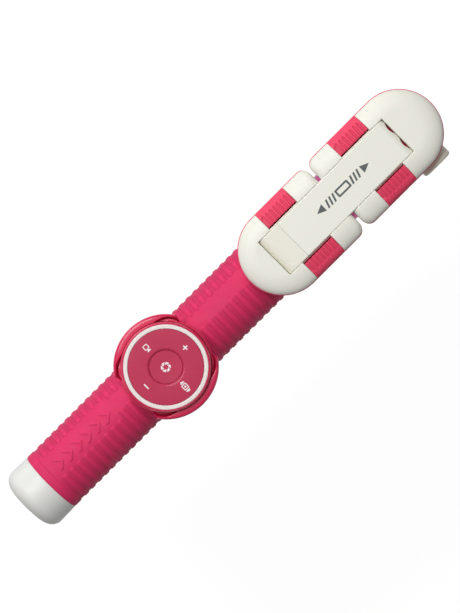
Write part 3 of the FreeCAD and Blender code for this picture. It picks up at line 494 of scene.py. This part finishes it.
def grip_stations():
    """X places for the sleeve's rings, close together on each rib's slopes."""
    offsets = np.array([0.0, 0.45, 0.83, 0.9, 0.97, 1.04, 1.11, 1.18, 1.25, 1.35, 1.6])
    offsets = np.concatenate([-offsets[:0:-1], offsets])
    ribs = FIRST_RIB_X + RIB_PITCH * np.arange(RIB_COUNT)
    ends = np.array([0.0, 0.02, 0.08, 0.2, 0.5])
    band_edge = END_BAND_X1 + np.array([-1.5, -0.1, 0.0, 0.1, 0.2, 0.3])
    groove = np.array([band_low[0] - 0.1, band_low[0], band_high[0], band_high[0] + 0.1])
    parts = [
        (ribs[:, None] + offsets).ravel(), grip_low[0] + ends, grip_high[0] - ends, band_edge, groove,
    ]
    return np.unique(np.round(np.concatenate(parts), 3))


def grip_angles():
    """Angles round the sleeve, close together at the ends of the ribs."""
    even = np.linspace(0, 2 * math.pi, 150, endpoint=False)
    round_end = np.linspace(-0.03, 0.12, 16)
    extra = []
    for wide in (True, False):
        for middle, half in rib_arcs(wide):
            extra += [middle + half - round_end, middle - half + round_end]
    every = np.concatenate([even] + extra) % (2 * math.pi)
    return np.unique(np.round(every, 4))


def build_grip():
    """Silicone sleeve: a closed skin whose outside carries the ribs and smooth lanes."""
    x, angle = grip_stations(), grip_angles()
    grid_x, grid_a = np.meshgrid(x, angle, indexing="ij")
    inner_x = np.linspace(grip_high[0], grip_low[0], 4)
    in_x, in_a = np.meshgrid(inner_x, angle, indexing="ij")
    all_x = np.concatenate([grid_x, in_x])
    all_a = np.concatenate([grid_a, in_a])
    outside, painted_groove_shade = grip_surface(grid_x, grid_a)
    radius = np.concatenate([outside, np.full_like(in_x, TUBE_R + FIT_GAP)])
    # Painted shade darkens the grooves between the ribs; the inside gets none.
    painted_shade = np.concatenate([painted_groove_shade, np.zeros_like(in_x)])
    points = np.stack([all_x, radius * np.sin(all_a), radius * np.cos(all_a)], axis=-1)
    faces = strip_faces(len(all_x), len(angle), True, True)
    add_piece(
        "grip_skin", points.reshape(-1, 3), faces, "handle", "pink_silicone", ("grip_sleeve",),
        smooth_deg=60.0, painted_shade=painted_shade,
    )


def build_grip_chevrons():
    """Row of plain raised chevrons in the wide lane, in place of lettering."""
    middle = math.radians(12.6)
    first_x, pitch, count = 22.0, 5.1, 6
    half_height, thick, lean, raised = 2.6, 1.5, 2.6, 0.45
    # Each layer's lift over the grip and how far its outline has drawn in.
    layers = ((-0.3, 0.0), (raised - 0.07, 0.0), (raised, 0.1))
    half = np.linspace(-1, 1, 15)
    for k in range(count):
        front = [(first_x + pitch * k + lean * (1 - abs(t)), half_height * t) for t in half]
        back = [(x - thick, s) for x, s in reversed(front)]
        outline = front + back
        sides = [-1.0] * len(front) + [1.0] * len(back)
        vertices = []
        for lift, inset in layers:
            for (x, s), side in zip(outline, sides):
                s_in = s * (1 - inset / half_height)
                a = middle + s_in / GRIP_R
                radius = GRIP_R + lift
                vertices.append((x + side * inset, radius * math.sin(a), radius * math.cos(a)))
        size = len(outline)
        faces = strip_faces(len(layers), size, False, True)
        for base in (0, (len(layers) - 1) * size):
            for j in range(len(half) - 1):
                far = base + size - 1 - j
                faces.append((base + j, base + j + 1, far - 1, far))
        add_piece("grip_chevron_%d" % (k + 1), vertices, faces, "handle", "pink_silicone")


# ---------------------------------------------------------------- end cap
def build_end_cap():
    """Soft-cornered end cap with a fine shadow line where the sleeve starts."""
    low, high, big = cap_low[0], cap_high[0], cap_high[1]
    face_r, edge_x = 8.4, 5.2
    tube_wall, plug_wall, pinhole = 0.8, 1.6, 0.02
    bore = TUBE_R - tube_wall
    pocket = bore - plug_wall
    seam = grip_low[0]
    outline = [(low, pinhole)]
    for a in np.linspace(0, math.pi / 2, 23):
        outline.append((low + edge_x * (1 - math.cos(a)), face_r + (big - face_r) * math.sin(a)))
    outline += [(seam - 0.35, big - 0.22), (seam - 0.08, big - 0.34), (seam, big - 0.6)]
    outline += [(seam, TUBE_R), (tube_low[0], TUBE_R), (tube_low[0], bore), (high, bore)]
    outline += [(high, pocket), (low + edge_x, pocket), (low + edge_x, pinhole)]
    lathe(
        "end_cap_shell", outline, "x", np.zeros(3), "handle", "white_plastic", ("end_cap",), 192,
        material=cap_white,
    )


# ---------------------------------------------------------------- cradle
CUP_R = CASE_R + 0.1
CUP_FLOOR = (cradle_low[2], cradle_low[2] + 1.7)
WING_R = 20.65
WING_TOP = cradle_high[2]
RIM_R = CUP_R + 0.8
RIM_TOP = 19.6


def cradle_section(degrees):
    """Closed (radius, z) outline of the cup at an angle from +X.

    wing goes from 0 on the plain rim to 1 on the wings at +Y and -Y. slot goes from 0 at the
    middle of a wing, which leans in to the remote, to 1 at its ends, which stand clear of it.
    """
    from_wing = abs(degrees % 180 - 90)
    wing = 1 - float(smooth_step(from_wing, 54.0, 63.0))
    slot = float(smooth_step(from_wing, 26.0, 48.0))
    outer = RIM_R + 0.04 + (WING_R - RIM_R) * wing
    plain_crest = RIM_TOP - 1.0
    wing_crest = WING_TOP + 0.8 - 0.5 * slot
    crest = plain_crest + (wing_crest - plain_crest) * wing
    crest_in = RIM_R + 0.03 + (1.1 * slot - 0.76 * (1 - slot)) * wing
    slot_r = CUP_R + 0.06 + 0.95 * slot * wing
    slot_z = RIM_TOP - 1.1 + (2.9 * (1 - slot) - 0.3 * slot) * wing
    rim_z = slot_z + (RIM_TOP - slot_z) * slot
    rim_out = CUP_R + 0.04 + (slot_r - CUP_R - 0.06) * slot
    corners = [
        (0.6, CUP_FLOOR[0], 0),
        (outer - 1.2 - 0.3 * wing, CUP_FLOOR[0], 1.2),
        (outer - 0.12 * wing, CUP_FLOOR[0] + 3.3, 1.0),
        (outer, crest - 0.75 * wing, 0.9),
        (outer - 0.85 * wing, crest, 0.7),
        (crest_in, crest, 0.1 + 0.3 * slot),
        (slot_r, slot_z, 0.3),
        (rim_out, rim_z, 0.25),
        (CUP_R, rim_z, 0.15),
        (CUP_R, CUP_FLOOR[1], 0.3),
        (0.6, CUP_FLOOR[1], 0),
    ]
    return rounded(corners, 5)


def build_cradle():
    """Cup with two rolled wings: one cross-section, swept round and changed on the way."""
    columns = 360
    rows = []
    for k in range(columns):
        degrees = 360.0 * k / columns
        angle = math.radians(degrees)
        c, s = math.cos(angle), math.sin(angle)
        rows.append([(REMOTE_X + r * c, r * s, z) for r, z in cradle_section(degrees)])
    vertices = [point for row in rows for point in row]
    faces = strip_faces(columns, len(rows[0]), True, True)
    add_piece(
        "cradle_cup", vertices, faces, "handle", "pink_gloss_plastic", ("remote_cradle",),
        smooth_deg=50.0,
    )


# ---------------------------------------------------------------- remote
def turned(name, outline, body, slot, node, segments=224):
    """Piece of the remote turned about the remote's own axis, in place of a CAD node."""
    lathe(name, outline, "z", REMOTE_CENTRE, body, slot, (node,), segments)


def build_remote_rim():
    """Upper case rim with a soft shoulder down to the white ring."""
    split, top = CASE_SPLIT, CASE_TOP
    bore = RING_R + FIT_GAP
    deck = RING_R - 3.2
    corners = [
        (split, CASE_R, 0.25),
        (top - 1.0, CASE_R, 0.4),
        (top - 0.35, CASE_R - 0.35, 0.4),
        (top, RING_R + 0.3, 0.2),
        (top - 0.35, bore, 0.1),
        (split + 1.5, bore, 0),
        (split + 1.5, deck, 0),
        (split + 0.9, deck, 0),
        (split + 0.9, bore, 0),
        (split, bore, 0),
    ]
    turned("remote_rim", rounded(corners), "remote", "pink_gloss_plastic", "remote_top_shell")


def build_remote_base():
    """Lower case with a stepped shadow line under the rim and the battery opening."""
    z0 = cad_box("remote_bottom_shell")[0][2]
    z1 = CASE_SPLIT
    floor, holder = z0 + 1.2, z0 + 4.2
    holder_in, holder_out = 10.2, 11.4
    inside = CASE_R - 1.3
    step = CASE_R - 0.25
    door_r = half_width(*cad_box("battery_door")) + 0.05
    corners = [
        (z0, door_r, 0.1),
        (z0, CASE_R, 1.0),
        (z1 - 0.3, CASE_R, 0.12),
        (z1 - 0.3, step, 0),
        (z1 - FIT_GAP, step, 0),
        (z1 - FIT_GAP, inside, 0),
        (floor, inside, 0),
        (floor, holder_out, 0),
        (holder, holder_out, 0),
        (holder, holder_in, 0),
        (floor, holder_in, 0),
        (floor, door_r, 0),
    ]
    turned("remote_base", rounded(corners), "remote", "pink_gloss_plastic", "remote_bottom_shell")


def build_trim_ring():
    """Off-white ring with softened edges."""
    inner = KEY_EDGE_R + 0.1
    z0, z1 = ring_low[2], ring_high[2] - 0.06
    outline = rounded([(z0, inner, 0), (z0, RING_R, 0), (z1, RING_R, 0.25), (z1, inner, 0.25)])
    turned("trim_ring", outline, "remote", "ring_plastic", "white_trim_ring")


def build_keys():
    """Ring key that slopes down to the dished centre key."""
    thick = 1.25
    top = rocker_high[2]
    base = top - thick
    hole = SHUTTER_R + 0.08
    corners = [
        (base, hole, 0),
        (base, KEY_EDGE_R, 0),
        (top, KEY_EDGE_R, 0.16),
        (top, SHUTTER_R + 0.75, 0.3),
        (top - 0.5, hole, 0.12),
    ]
    turned("rocker_key_cap", rounded(corners), "rocker_key", "key_plastic", "direction_key")
    face, low = shutter_high[2], shutter_low[2]
    shoulder = face - thick
    stem_r, pinhole = 1.5, 0.02
    dish = [
        (face - KEY_DISH * (1 - (r / SHUTTER_R) ** 2), r)
        for r in np.linspace(pinhole, SHUTTER_R - 0.3, 10)
    ]
    edge = [
        (face - 0.02, SHUTTER_R - 0.1), (face - 0.1, SHUTTER_R - 0.02), (face - 0.25, SHUTTER_R),
    ]
    stem = [(shoulder, SHUTTER_R), (shoulder, stem_r), (low, stem_r), (low, pinhole)]
    outline = dish + edge + stem
    turned("shutter_key_cap", outline, "centre_key", "key_plastic", "shutter_key", 192)


def build_key_mat():
    """Silicone mat ring with four domed plungers and two trunnions."""
    low, high = cad_box("key_mat")
    outer = (high[0] - low[0]) / 2
    top, under = high[2], high[2] - 0.4
    hole, root, pinhole = SHUTTER_R + 0.3, under + 0.05, 0.02
    switch_r, plunger_r, trunnion_r = 11.0, 1.3, 0.2
    ring = rounded([(under, hole, 0.1), (under, outer, 0.15), (top, outer, 0.15), (top, hole, 0.1)])
    turned("key_mat_ring", ring, "rocker_mat", "clear_silicone", "key_mat", 160)
    plunger = rounded([
        (root, pinhole, 0), (root, plunger_r + 0.2, 0.1),
        (low[2], plunger_r, 0.4), (low[2], pinhole, 0),
    ])
    for k in range(4):
        angle = math.pi / 2 * k
        centre = REMOTE_CENTRE + (switch_r * math.cos(angle), switch_r * math.sin(angle), 0)
        name = "key_mat_plunger_%d" % (k + 1)
        lathe(name, plunger, "z", centre, "rocker_mat", "clear_silicone", (), 32)
    middle = REMOTE_CENTRE + (0, 0, (top + under) / 2)
    for side, label in ((1, "left"), (-1, "right")):
        start, end = sorted((side * (outer - 0.2), side * high[1]))
        pin = rounded([
            (start, 0.01, 0), (start, trunnion_r, 0.05), (end, trunnion_r, 0.05), (end, 0.01, 0),
        ], 3)
        name = "key_mat_trunnion_" + label
        lathe(name, pin, "y", middle, "rocker_mat", "clear_silicone", (), 24)


# ---------------------------------------------------------------- printed marks
def rectangle(x, y, size_x, size_y, corner=0.0):
    """Rectangle loop about a centre, with optional round corners."""
    hx, hy = size_x / 2, size_y / 2
    corners = [(x - hx, y - hy), (x + hx, y - hy), (x + hx, y + hy), (x - hx, y + hy)]
    return [tuple(p) for p in rounded([(a, b, corner) for a, b in corners], 4)]


def circle(x, y, radius):
    """Round loop about a centre."""
    turns = np.linspace(0, 2 * math.pi, 40, endpoint=False)
    return [(x + radius * math.cos(a), y + radius * math.sin(a)) for a in turns]


def ring_marks():
    """Loops of each mark on the ring key, by name; +X is up on the marks."""
    far = 10.7                      # from the remote's middle to each mark's
    arm, half = 0.26, 1.08          # the plus: half its stroke and half its size
    cross = [
        (half, arm), (arm, arm), (arm, half), (-arm, half), (-arm, arm), (-half, arm),
        (-half, -arm), (-arm, -arm), (-arm, -half), (arm, -half), (arm, -arm), (half, -arm),
    ]
    body_y = far + 0.2
    flip_y = -far
    marks = {
        "mark_plus": [[(REMOTE_X + far + x, y) for x, y in cross]],
        "mark_minus": [rectangle(REMOTE_X - far, 0, 0.54, 2.5)],
        "mark_video_body": [
            rectangle(REMOTE_X, body_y, 2.15, 2.15, 0.4),
            rectangle(REMOTE_X, body_y, 1.45, 1.45, 0.15),
        ],
        "mark_video_lens": [
            [
                (REMOTE_X - 0.3, body_y - 1.2), (REMOTE_X + 0.3, body_y - 1.2),
                (REMOTE_X + 0.95, body_y - 2.0), (REMOTE_X - 0.95, body_y - 2.0),
            ]
        ],
        "mark_flip_frame": [
            rectangle(REMOTE_X, flip_y, 2.3, 2.5, 0.5),
            rectangle(REMOTE_X, flip_y, 1.5, 1.7, 0.2),
        ],
        "mark_flip_lens": [circle(REMOTE_X, flip_y, 0.45)],
    }
    for side, label in ((1, "left"), (-1, "right")):
        marks["mark_flip_" + label] = [
            [
                (REMOTE_X - side * 0.2, flip_y + side * 2.5),
                (REMOTE_X + side * 1.1, flip_y + side * 1.9),
                (REMOTE_X + side * 0.9, flip_y + side * 1.5),
                (REMOTE_X - side * 0.9, flip_y + side * 1.6),
            ][::side]
        ]
    return marks


def build_key_marks():
    """Thin white prints on the ring key and an iris mark on the centre key."""
    top = rocker_high[2]
    for name, loops in ring_marks().items():
        prism(name, loops, (top - 0.02, top + 0.04), "rocker_key", "ring_plastic", ink_white)
    face = shutter_high[2] - KEY_DISH
    inner, outer, gap = 1.0, 1.95, 0.2
    blades = 6
    for k in range(blades):
        start = math.radians(360 / blades * k)
        arc = start + np.radians(np.linspace(0, 46, 9))
        loop = [(REMOTE_X + outer * math.cos(a), outer * math.sin(a)) for a in arc]
        for turn, radius in ((72, inner), (18, inner + gap)):
            a = start + math.radians(turn)
            loop.append((REMOTE_X + radius * math.cos(a), radius * math.sin(a)))
        name = "mark_iris_%d" % (k + 1)
        prism(name, [loop], (face, face + 0.07), "centre_key", "ring_plastic", ink_white)


def build_box_print():
    """Generic pull mark on the spring box: a phone between slanted bars and two arrows."""
    middle_x, middle_y, height, top = 177.0, 0.4, 3.4, box_high[2]
    half, lean, half_bar = height / 2, 0.55, 0.42
    loops = {
        "print_phone": [
            rectangle(middle_x, middle_y, 6.8, height, 0.6),
            rectangle(middle_x, middle_y, 5.2, height - 1.5, 0.2),
        ],
    }
    for side, label in ((1, "head"), (-1, "tail")):
        for k in range(3):
            x = middle_x + side * (4.9 + 1.75 * k)
            bar = [
                (x - half_bar - lean, middle_y - half), (x + half_bar - lean, middle_y - half),
                (x + half_bar + lean, middle_y + half), (x - half_bar + lean, middle_y + half),
            ]
            loops["print_bar_%s_%d" % (label, k + 1)] = [bar]
        near, far = middle_x + side * 10.4, middle_x + side * 14.2
        arrow = [(near, middle_y - half), (far, middle_y), (near, middle_y + half)]
        loops["print_arrow_" + label] = [arrow[::side]]
    for name, outline in loops.items():
        prism(name, outline, (top - 0.02, top + 0.03), "spring_box", "white_plastic", ink_dark)


# ---------------------------------------------------------------- clamp jaws
JAW_R = half_width(*cad_box("fixed_jaw_cover"))
# The window in each cover that the spring box or the slide bar shows through.
WINDOW_HALF = box_high[1] + 0.05
WINDOW_END_GAP = 0.12
COVER_Z = (cad_box("fixed_jaw_cover")[0][2], box_high[2])
CROWN_HEIGHT = 4.0
SHELL_EDGE = 0.35
CUT_EDGE = 0.3
TIP_EDGE = 2.6
TIP_CORNER_R = 3.6
TIP_LENGTH = 11.6
RAIL_Y = (WINDOW_HALF, WINDOW_HALF + 0.5)
RAIL_TOP_Z = 21.4


def crown(depth):
    """How far a jaw's front has dropped at a depth in from its outer edge; a quarter ellipse."""
    t = 1 - np.clip(np.asarray(depth, float) / (JAW_R - WINDOW_HALF), 0, 1)
    return CROWN_HEIGHT * (1 - np.sqrt(1 - t * t))


def round_over(depth, radius):
    """Drop of a plain rounded edge at a depth in from it."""
    t = 1 - np.clip(np.asarray(depth, float) / radius, 0, 1)
    return radius * (1 - np.sqrt(1 - t * t))


def edge_shares(length):
    """Places across a jaw from window to outer edge, 0 to 1, close together near both."""
    inner = np.array([0.0, 0.015, 0.06, 0.14, 0.24, 0.35])
    outer_span = min(length - 0.5, 9.5)
    outer = length - outer_span * (1 - np.cos(np.linspace(math.pi / 2, 0, 22)))
    middle = np.linspace(inner[-1], outer[0], 6)[1:-1]
    return np.concatenate([inner, middle, outer]) / length


def near_end(steps=5, radius=CUT_EDGE):
    """Distances from a cut end that follow its small rounded edge."""
    return radius * (1 - np.cos(np.linspace(0, math.pi / 2, steps)))


def jaw_section(inside, outside, top):
    """Closed loop of points from window edge to outer edge, for one line across a jaw."""
    shares = edge_shares(float(np.linalg.norm(outside - inside)))[:, None]
    plan = inside + shares * (outside - inside)
    heights = np.array([top(u, y) for u, y in plan])
    floor = COVER_Z[0]
    loop = [(inside[0], inside[1], floor)]
    loop += [(u, y, z) for (u, y), z in zip(plan, heights)]
    loop.append((outside[0], outside[1], floor))
    return loop


def cover_lines(window_u, end_u):
    """Pairs of plan points (window edge, outer edge) round a U-shaped cover, leg to leg."""

    def edge_point(run):
        """Outer edge point at a run from the arc's start; the leg is before it."""
        if run < 0:
            return np.array([-run, JAW_R])
        return np.array([-JAW_R * math.sin(run / JAW_R), JAW_R * math.cos(run / JAW_R)])

    corner = np.array([window_u, WINDOW_HALF])
    corner_run = -window_u if window_u > 0 else JAW_R * math.atan2(-window_u, WINDOW_HALF)
    fan_run = JAW_R * math.radians(52)
    quarter = JAW_R * math.pi / 2
    lines = []
    for e in near_end():
        lines.append((np.array([end_u - e, WINDOW_HALF]), edge_point(-(end_u - e))))
    start = end_u - CUT_EDGE
    for t in np.linspace(0, 1, 14)[1:]:
        u = start + t * (window_u - start)
        run = -start + t * (corner_run + start)
        lines.append((np.array([u, WINDOW_HALF]), edge_point(run)))
    for t in np.linspace(0, 1, 14)[1:]:
        lines.append((corner, edge_point(corner_run + t * (fan_run - corner_run))))
    for t in np.linspace(0, 1, 16)[1:]:
        run = fan_run + t * (quarter - fan_run)
        lines.append((np.array([window_u, WINDOW_HALF * (1 - t)]), edge_point(run)))
    mirror = np.array([1.0, -1.0])
    return lines + [(a * mirror, b * mirror) for a, b in lines[-2::-1]]


def build_jaw_cover(node, body, centre_x, direction, window_x):
    """White shell over a jaw's round end, crowned all round like a worn pebble."""
    low, high = cad_box(node)
    window_u = (window_x - centre_x) * direction
    end_u = (high[0] - centre_x) if direction > 0 else (centre_x - low[0])

    def top(u, y):
        """Front height of the cover at a plan point."""
        depth = JAW_R - (math.hypot(u, y) if u < 0 else abs(y))
        to_window = math.hypot(max(window_u - u, 0), max(abs(y) - WINDOW_HALF, 0))
        drop = crown(depth) + round_over(to_window, SHELL_EDGE) + round_over(end_u - u, CUT_EDGE)
        return max(COVER_Z[1] - drop, COVER_Z[0] + 0.1)

    loops = [jaw_section(a, b, top) for a, b in cover_lines(window_u, end_u)]
    points = np.array(loops)
    points[:, :, 0] = centre_x + direction * points[:, :, 0]
    faces = capped_faces(len(loops), len(loops[0]))
    name = node.replace("_jaw", "") + "_shell"
    add_piece(name, points.reshape(-1, 3), faces, body, "white_plastic", (node,))


def build_jaw_tips(node, body, centre_x, direction):
    """White end pieces, crowned like the cover, each with its low rail along the window."""
    low, high = cad_box(node)
    tip_u = (high[0] - centre_x) if direction > 0 else (centre_x - low[0])
    rail_u = (low[0] - centre_x) if direction > 0 else (centre_x - high[0])
    start_u = tip_u - TIP_LENGTH

    def outer_y(u):
        """Outer edge of the tip, with its rounded corner."""
        into = max(0.0, u - (tip_u - TIP_CORNER_R))
        return JAW_R - TIP_CORNER_R + math.sqrt(max(TIP_CORNER_R ** 2 - into ** 2, 0.0))

    def top(u, y):
        """Front height of the tip at a plan point."""
        from_side, from_end = JAW_R - y, tip_u - u
        depth = min(from_side, from_end)
        if from_side < TIP_CORNER_R and from_end < TIP_CORNER_R:
            depth = TIP_CORNER_R - math.hypot(TIP_CORNER_R - from_side, TIP_CORNER_R - from_end)
        drop = crown(from_side) - round_over(from_side, TIP_EDGE)
        drop += round_over(max(depth, 0.0), TIP_EDGE)
        drop += round_over(y - WINDOW_HALF, SHELL_EDGE) + round_over(u - start_u, CUT_EDGE)
        return max(COVER_Z[1] - drop, COVER_Z[0] + 0.1)

    bend_u = tip_u - TIP_CORNER_R
    rows = np.concatenate([
        start_u + near_end(),
        np.linspace(start_u + CUT_EDGE, bend_u, 8)[1:],
        bend_u + TIP_CORNER_R * np.sin(np.linspace(0, math.pi / 2, 18))[1:],
    ])
    loops = [
        jaw_section(np.array([u, WINDOW_HALF]), np.array([u, outer_y(u)]), top) for u in rows
    ]
    rail_profile = rounded([
        (RAIL_Y[0], COVER_Z[0], 0), (RAIL_Y[0], RAIL_TOP_Z, 0.2),
        (RAIL_Y[1], RAIL_TOP_Z, 0.2), (RAIL_Y[1], COVER_Z[0], 0),
    ])
    rail = [[(u, y, z) for y, z in rail_profile] for u in np.linspace(rail_u, start_u - 0.01, 4)]
    for side, label in ((1, "left"), (-1, "right")):
        vertices, faces = [], []
        for part in (loops, rail):
            base = len(vertices)
            for loop in part:
                vertices += [(centre_x + direction * u, side * y, z) for u, y, z in loop]
            faces += [tuple(base + i for i in face) for face in capped_faces(len(part), len(part[0]))]
        stands_for = (node,) if side > 0 else ()
        name = node.replace("_jaw_tips", "_tip_") + label
        add_piece(name, vertices, faces, body, "white_plastic", stands_for)


def build_pads(node, body, name, first_ridge_x):
    """Two rubber pads: a smooth outer band and seven ridges between leaf-shaped troughs."""
    low, high = cad_box(node)
    start, end, floor, outer = low[0], high[0], low[2], high[1]
    inner = WINDOW_HALF + 1.07
    ridges, pitch, depth = 7, 1.94, 0.5
    ridge_half, ridge_foot = 0.1, 0.85
    outer_edge, band, fade = 1.6, 2.8, 1.3
    below_cover, flatter = 0.25, 0.96
    xs = np.linspace(start, end, 230)
    across = np.concatenate([
        inner + near_end(6),
        np.linspace(inner + CUT_EDGE, outer - outer_edge, 30)[1:],
        outer - outer_edge * (1 - np.sin(np.linspace(0, math.pi / 2, 12)))[1:],
    ])
    grid_x, grid_y = np.meshgrid(xs, across, indexing="ij")
    index = np.clip(np.round((grid_x - first_ridge_x) / pitch), 0, ridges - 1)
    from_ridge = np.abs(grid_x - first_ridge_x - index * pitch)
    between = smooth_step(from_ridge, ridge_half, ridge_foot)
    leaf = np.clip(1 - np.abs(from_ridge - pitch / 2) / (pitch / 2), 0, 1)
    leaf_end = outer - band + leaf
    in_trough = between * (1 - smooth_step(grid_y, leaf_end - fade, leaf_end))
    height = COVER_Z[1] - below_cover - crown(outer - grid_y) * flatter
    height -= depth * in_trough
    from_end = np.minimum(grid_x - start, end - grid_x)
    height -= round_over(grid_y - inner, CUT_EDGE) + round_over(from_end, CUT_EDGE)
    height = np.maximum(height, floor + 0.05)
    top = np.stack([grid_x, grid_y, height], axis=-1)
    below = [
        np.stack([xs, np.full_like(xs, y), np.full_like(xs, floor)], axis=-1)[:, None]
        for y in (inner, outer)
    ]
    points = np.concatenate([below[0], top, below[1]], axis=1)
    faces = capped_faces(len(xs), points.shape[1])
    # The troughs also get painted shade, which darkens their colour.
    painted_shade = np.pad(in_trough, ((0, 0), (1, 1)))
    for side, label in ((1, "left"), (-1, "right")):
        vertices = (points * (1, side, 1)).reshape(-1, 3)
        stands_for = (node,) if side > 0 else ()
        add_piece(
            name + "_" + label, vertices, faces, body, "pink_silicone", stands_for,
            material=pad_rubber, smooth_deg=50.0, painted_shade=painted_shade,
        )


# ---------------------------------------------------------------- springs
def build_springs():
    """Two coiled extension springs between the slide bar and the box."""
    low, high = cad_box("clamp_springs")
    coil_r, wire_r, turns, sides, per_turn = 1.3, 0.2, 62, 8, 14
    middle_y = high[1] - (coil_r + wire_r)
    middle_z = (low[2] + high[2]) / 2
    share = np.linspace(0, 1, turns * per_turn + 1)[:, None]
    around = np.linspace(0, 2 * math.pi, sides, endpoint=False)
    angle = 2 * math.pi * turns * share
    x = low[0] + wire_r + (high[0] - low[0] - 2 * wire_r) * share + wire_r * np.sin(around)
    radius = coil_r + wire_r * np.cos(around)
    crossing = ("spring_box", "tongue", (high[0] * MM, 0, 0), (low[0] * MM, 0, 0))
    for side, label in ((1, "left"), (-1, "right")):
        y = side * middle_y + radius * np.cos(angle)
        z = middle_z + radius * np.sin(angle)
        vertices = np.stack([x, y, z], axis=-1).reshape(-1, 3)
        stands_for = ("clamp_springs",) if side > 0 else ()
        faces = capped_faces(len(share), sides)
        name = "clamp_spring_" + label
        add_piece(name, vertices, faces, crossing, "spring_steel", stands_for)


# ---------------------------------------------------------------- CAD nodes
def finish_cad_nodes():
    """Give every carried-over CAD node its slot's material; the tilt knob gets the paler white that
    paints fill light onto it.
    """
    own = {"tilt_knob": knob_white_fill_lit}
    for entry in frame["record"]["subparts"]:
        node = frame["nodes"][entry["node"]]
        node.data.materials.clear()
        node.data.materials.append(own.get(entry["node"], materials[entry["material_slot"]]))


# ---------------------------------------------------------------- stage
def seen_only(tree, low, high):
    """High for camera rays and mirror reflections, low for the light that bounces."""
    path = tree.nodes.new("ShaderNodeLightPath")
    either = tree.nodes.new("ShaderNodeMath")
    either.operation = "MAXIMUM"
    tree.links.new(path.outputs["Is Camera Ray"], either.inputs[0])
    tree.links.new(path.outputs["Is Glossy Ray"], either.inputs[1])
    return remap(tree, either.outputs["Value"], low, high, (0.0, 1.0))


def build_floor():
    """Plain pale paper, well below the stick; its sizes are in metres."""
    size, drop = 6.0, -0.19
    mesh = bpy.data.meshes.new("floor")
    corners = [(-size, -size, drop), (size, -size, drop), (size, size, drop), (-size, size, drop)]
    mesh.from_pydata(corners, [], [(0, 1, 2, 3)])
    floor = bpy.data.objects.new("floor", mesh)
    bpy.context.scene.collection.objects.link(floor)
    material, tree, shader = new_shader("floor_paper")
    shader.inputs["Base Color"].default_value = (0.35, 0.35, 0.35, 1.0)
    shader.inputs["Roughness"].default_value = 0.95
    shader.inputs["Specular IOR Level"].default_value = 0.0
    shader.inputs["Emission Color"].default_value = (1.0, 1.0, 1.0, 1.0)
    tree.links.new(seen_only(tree, 0.0, 0.78), shader.inputs["Emission Strength"])
    mesh.materials.append(material)


def add_area(name, place, target, size, power):
    """Soft square light aimed at a point."""
    data = bpy.data.lights.new(name, "AREA")
    data.energy = power
    data.size = size
    light = bpy.data.objects.new(name, data)
    light.location = place
    light.rotation_euler = (Vector(target) - Vector(place)).to_track_quat("-Z", "Y").to_euler()
    bpy.context.scene.collection.objects.link(light)


def build_light():
    """Dim surroundings that the camera sees as white, a broad key light and a low side light.

    Both lights stand on the +Y side; the key is high up and the side light almost level.
    """
    world = bpy.data.worlds.new("studio")
    bpy.context.scene.world = world
    world.use_nodes = True
    tree = world.node_tree
    background = tree.nodes["Background"]
    background.inputs["Color"].default_value = (1, 1, 1, 1)
    ambient = 0.24
    path = tree.nodes.new("ShaderNodeLightPath")
    strength = remap(tree, path.outputs["Is Camera Ray"], ambient, 1.0, (0.0, 1.0))
    tree.links.new(strength, background.inputs["Strength"])
    half_length = 0.113
    middle = (half_length, 0.0, 0.0)
    add_area("key", (half_length, 0.5, 0.98), middle, size=0.6, power=9.4)
    add_area("side", (half_length, 1.1, 0.08), middle, size=0.5, power=2.4)


def build_camera():
    """Camera straight above the keys, with the pole rising to the upper right."""
    across = math.sqrt(0.5)
    right, up, back = (across, -across, 0), (across, across, 0), (0, 0, 1)
    turn = Matrix((right, up, back)).transposed().to_4x4()
    place = (0.1134, -0.0010, 0.864)
    data = bpy.data.cameras.new("camera")
    data.sensor_width = 36.0
    data.lens = 126.8
    data.clip_start = 0.01
    data.clip_end = 20.0
    camera = bpy.data.objects.new("camera", data)
    camera.matrix_world = Matrix.Translation(place) @ turn
    bpy.context.scene.collection.objects.link(camera)
    bpy.context.scene.camera = camera


# ---------------------------------------------------------------- build
finish_cad_nodes()
build_grip()
build_grip_chevrons()
build_end_cap()
build_cradle()
build_remote_rim()
build_remote_base()
build_trim_ring()
build_keys()
build_key_mat()
build_key_marks()
build_box_print()
fixed_x = cad_box("fixed_jaw_cover")[1][0] - JAW_R
sliding_x = cad_box("sliding_jaw_cover")[0][0] + JAW_R
box_end = box_high[0] + WINDOW_END_GAP
bar_end = cad_box("slide_tongue")[0][0] - WINDOW_END_GAP
build_jaw_cover("fixed_jaw_cover", "fixed_jaw", fixed_x, -1, box_end)
build_jaw_cover("sliding_jaw_cover", "sliding_jaw", sliding_x, 1, bar_end)
build_jaw_tips("fixed_jaw_tips", "fixed_jaw", fixed_x, -1)
build_jaw_tips("sliding_jaw_tips", "sliding_jaw", sliding_x, 1)
build_pads("fixed_jaw_pads", "fixed_jaw", "fixed_pad", first_ridge_x=188.2)
build_pads("sliding_jaw_pads", "sliding_jaw", "sliding_pad", first_ridge_x=148.0)
build_springs()
build_floor()
build_light()
build_camera()
bpy.context.scene.view_settings.view_transform = "Standard"
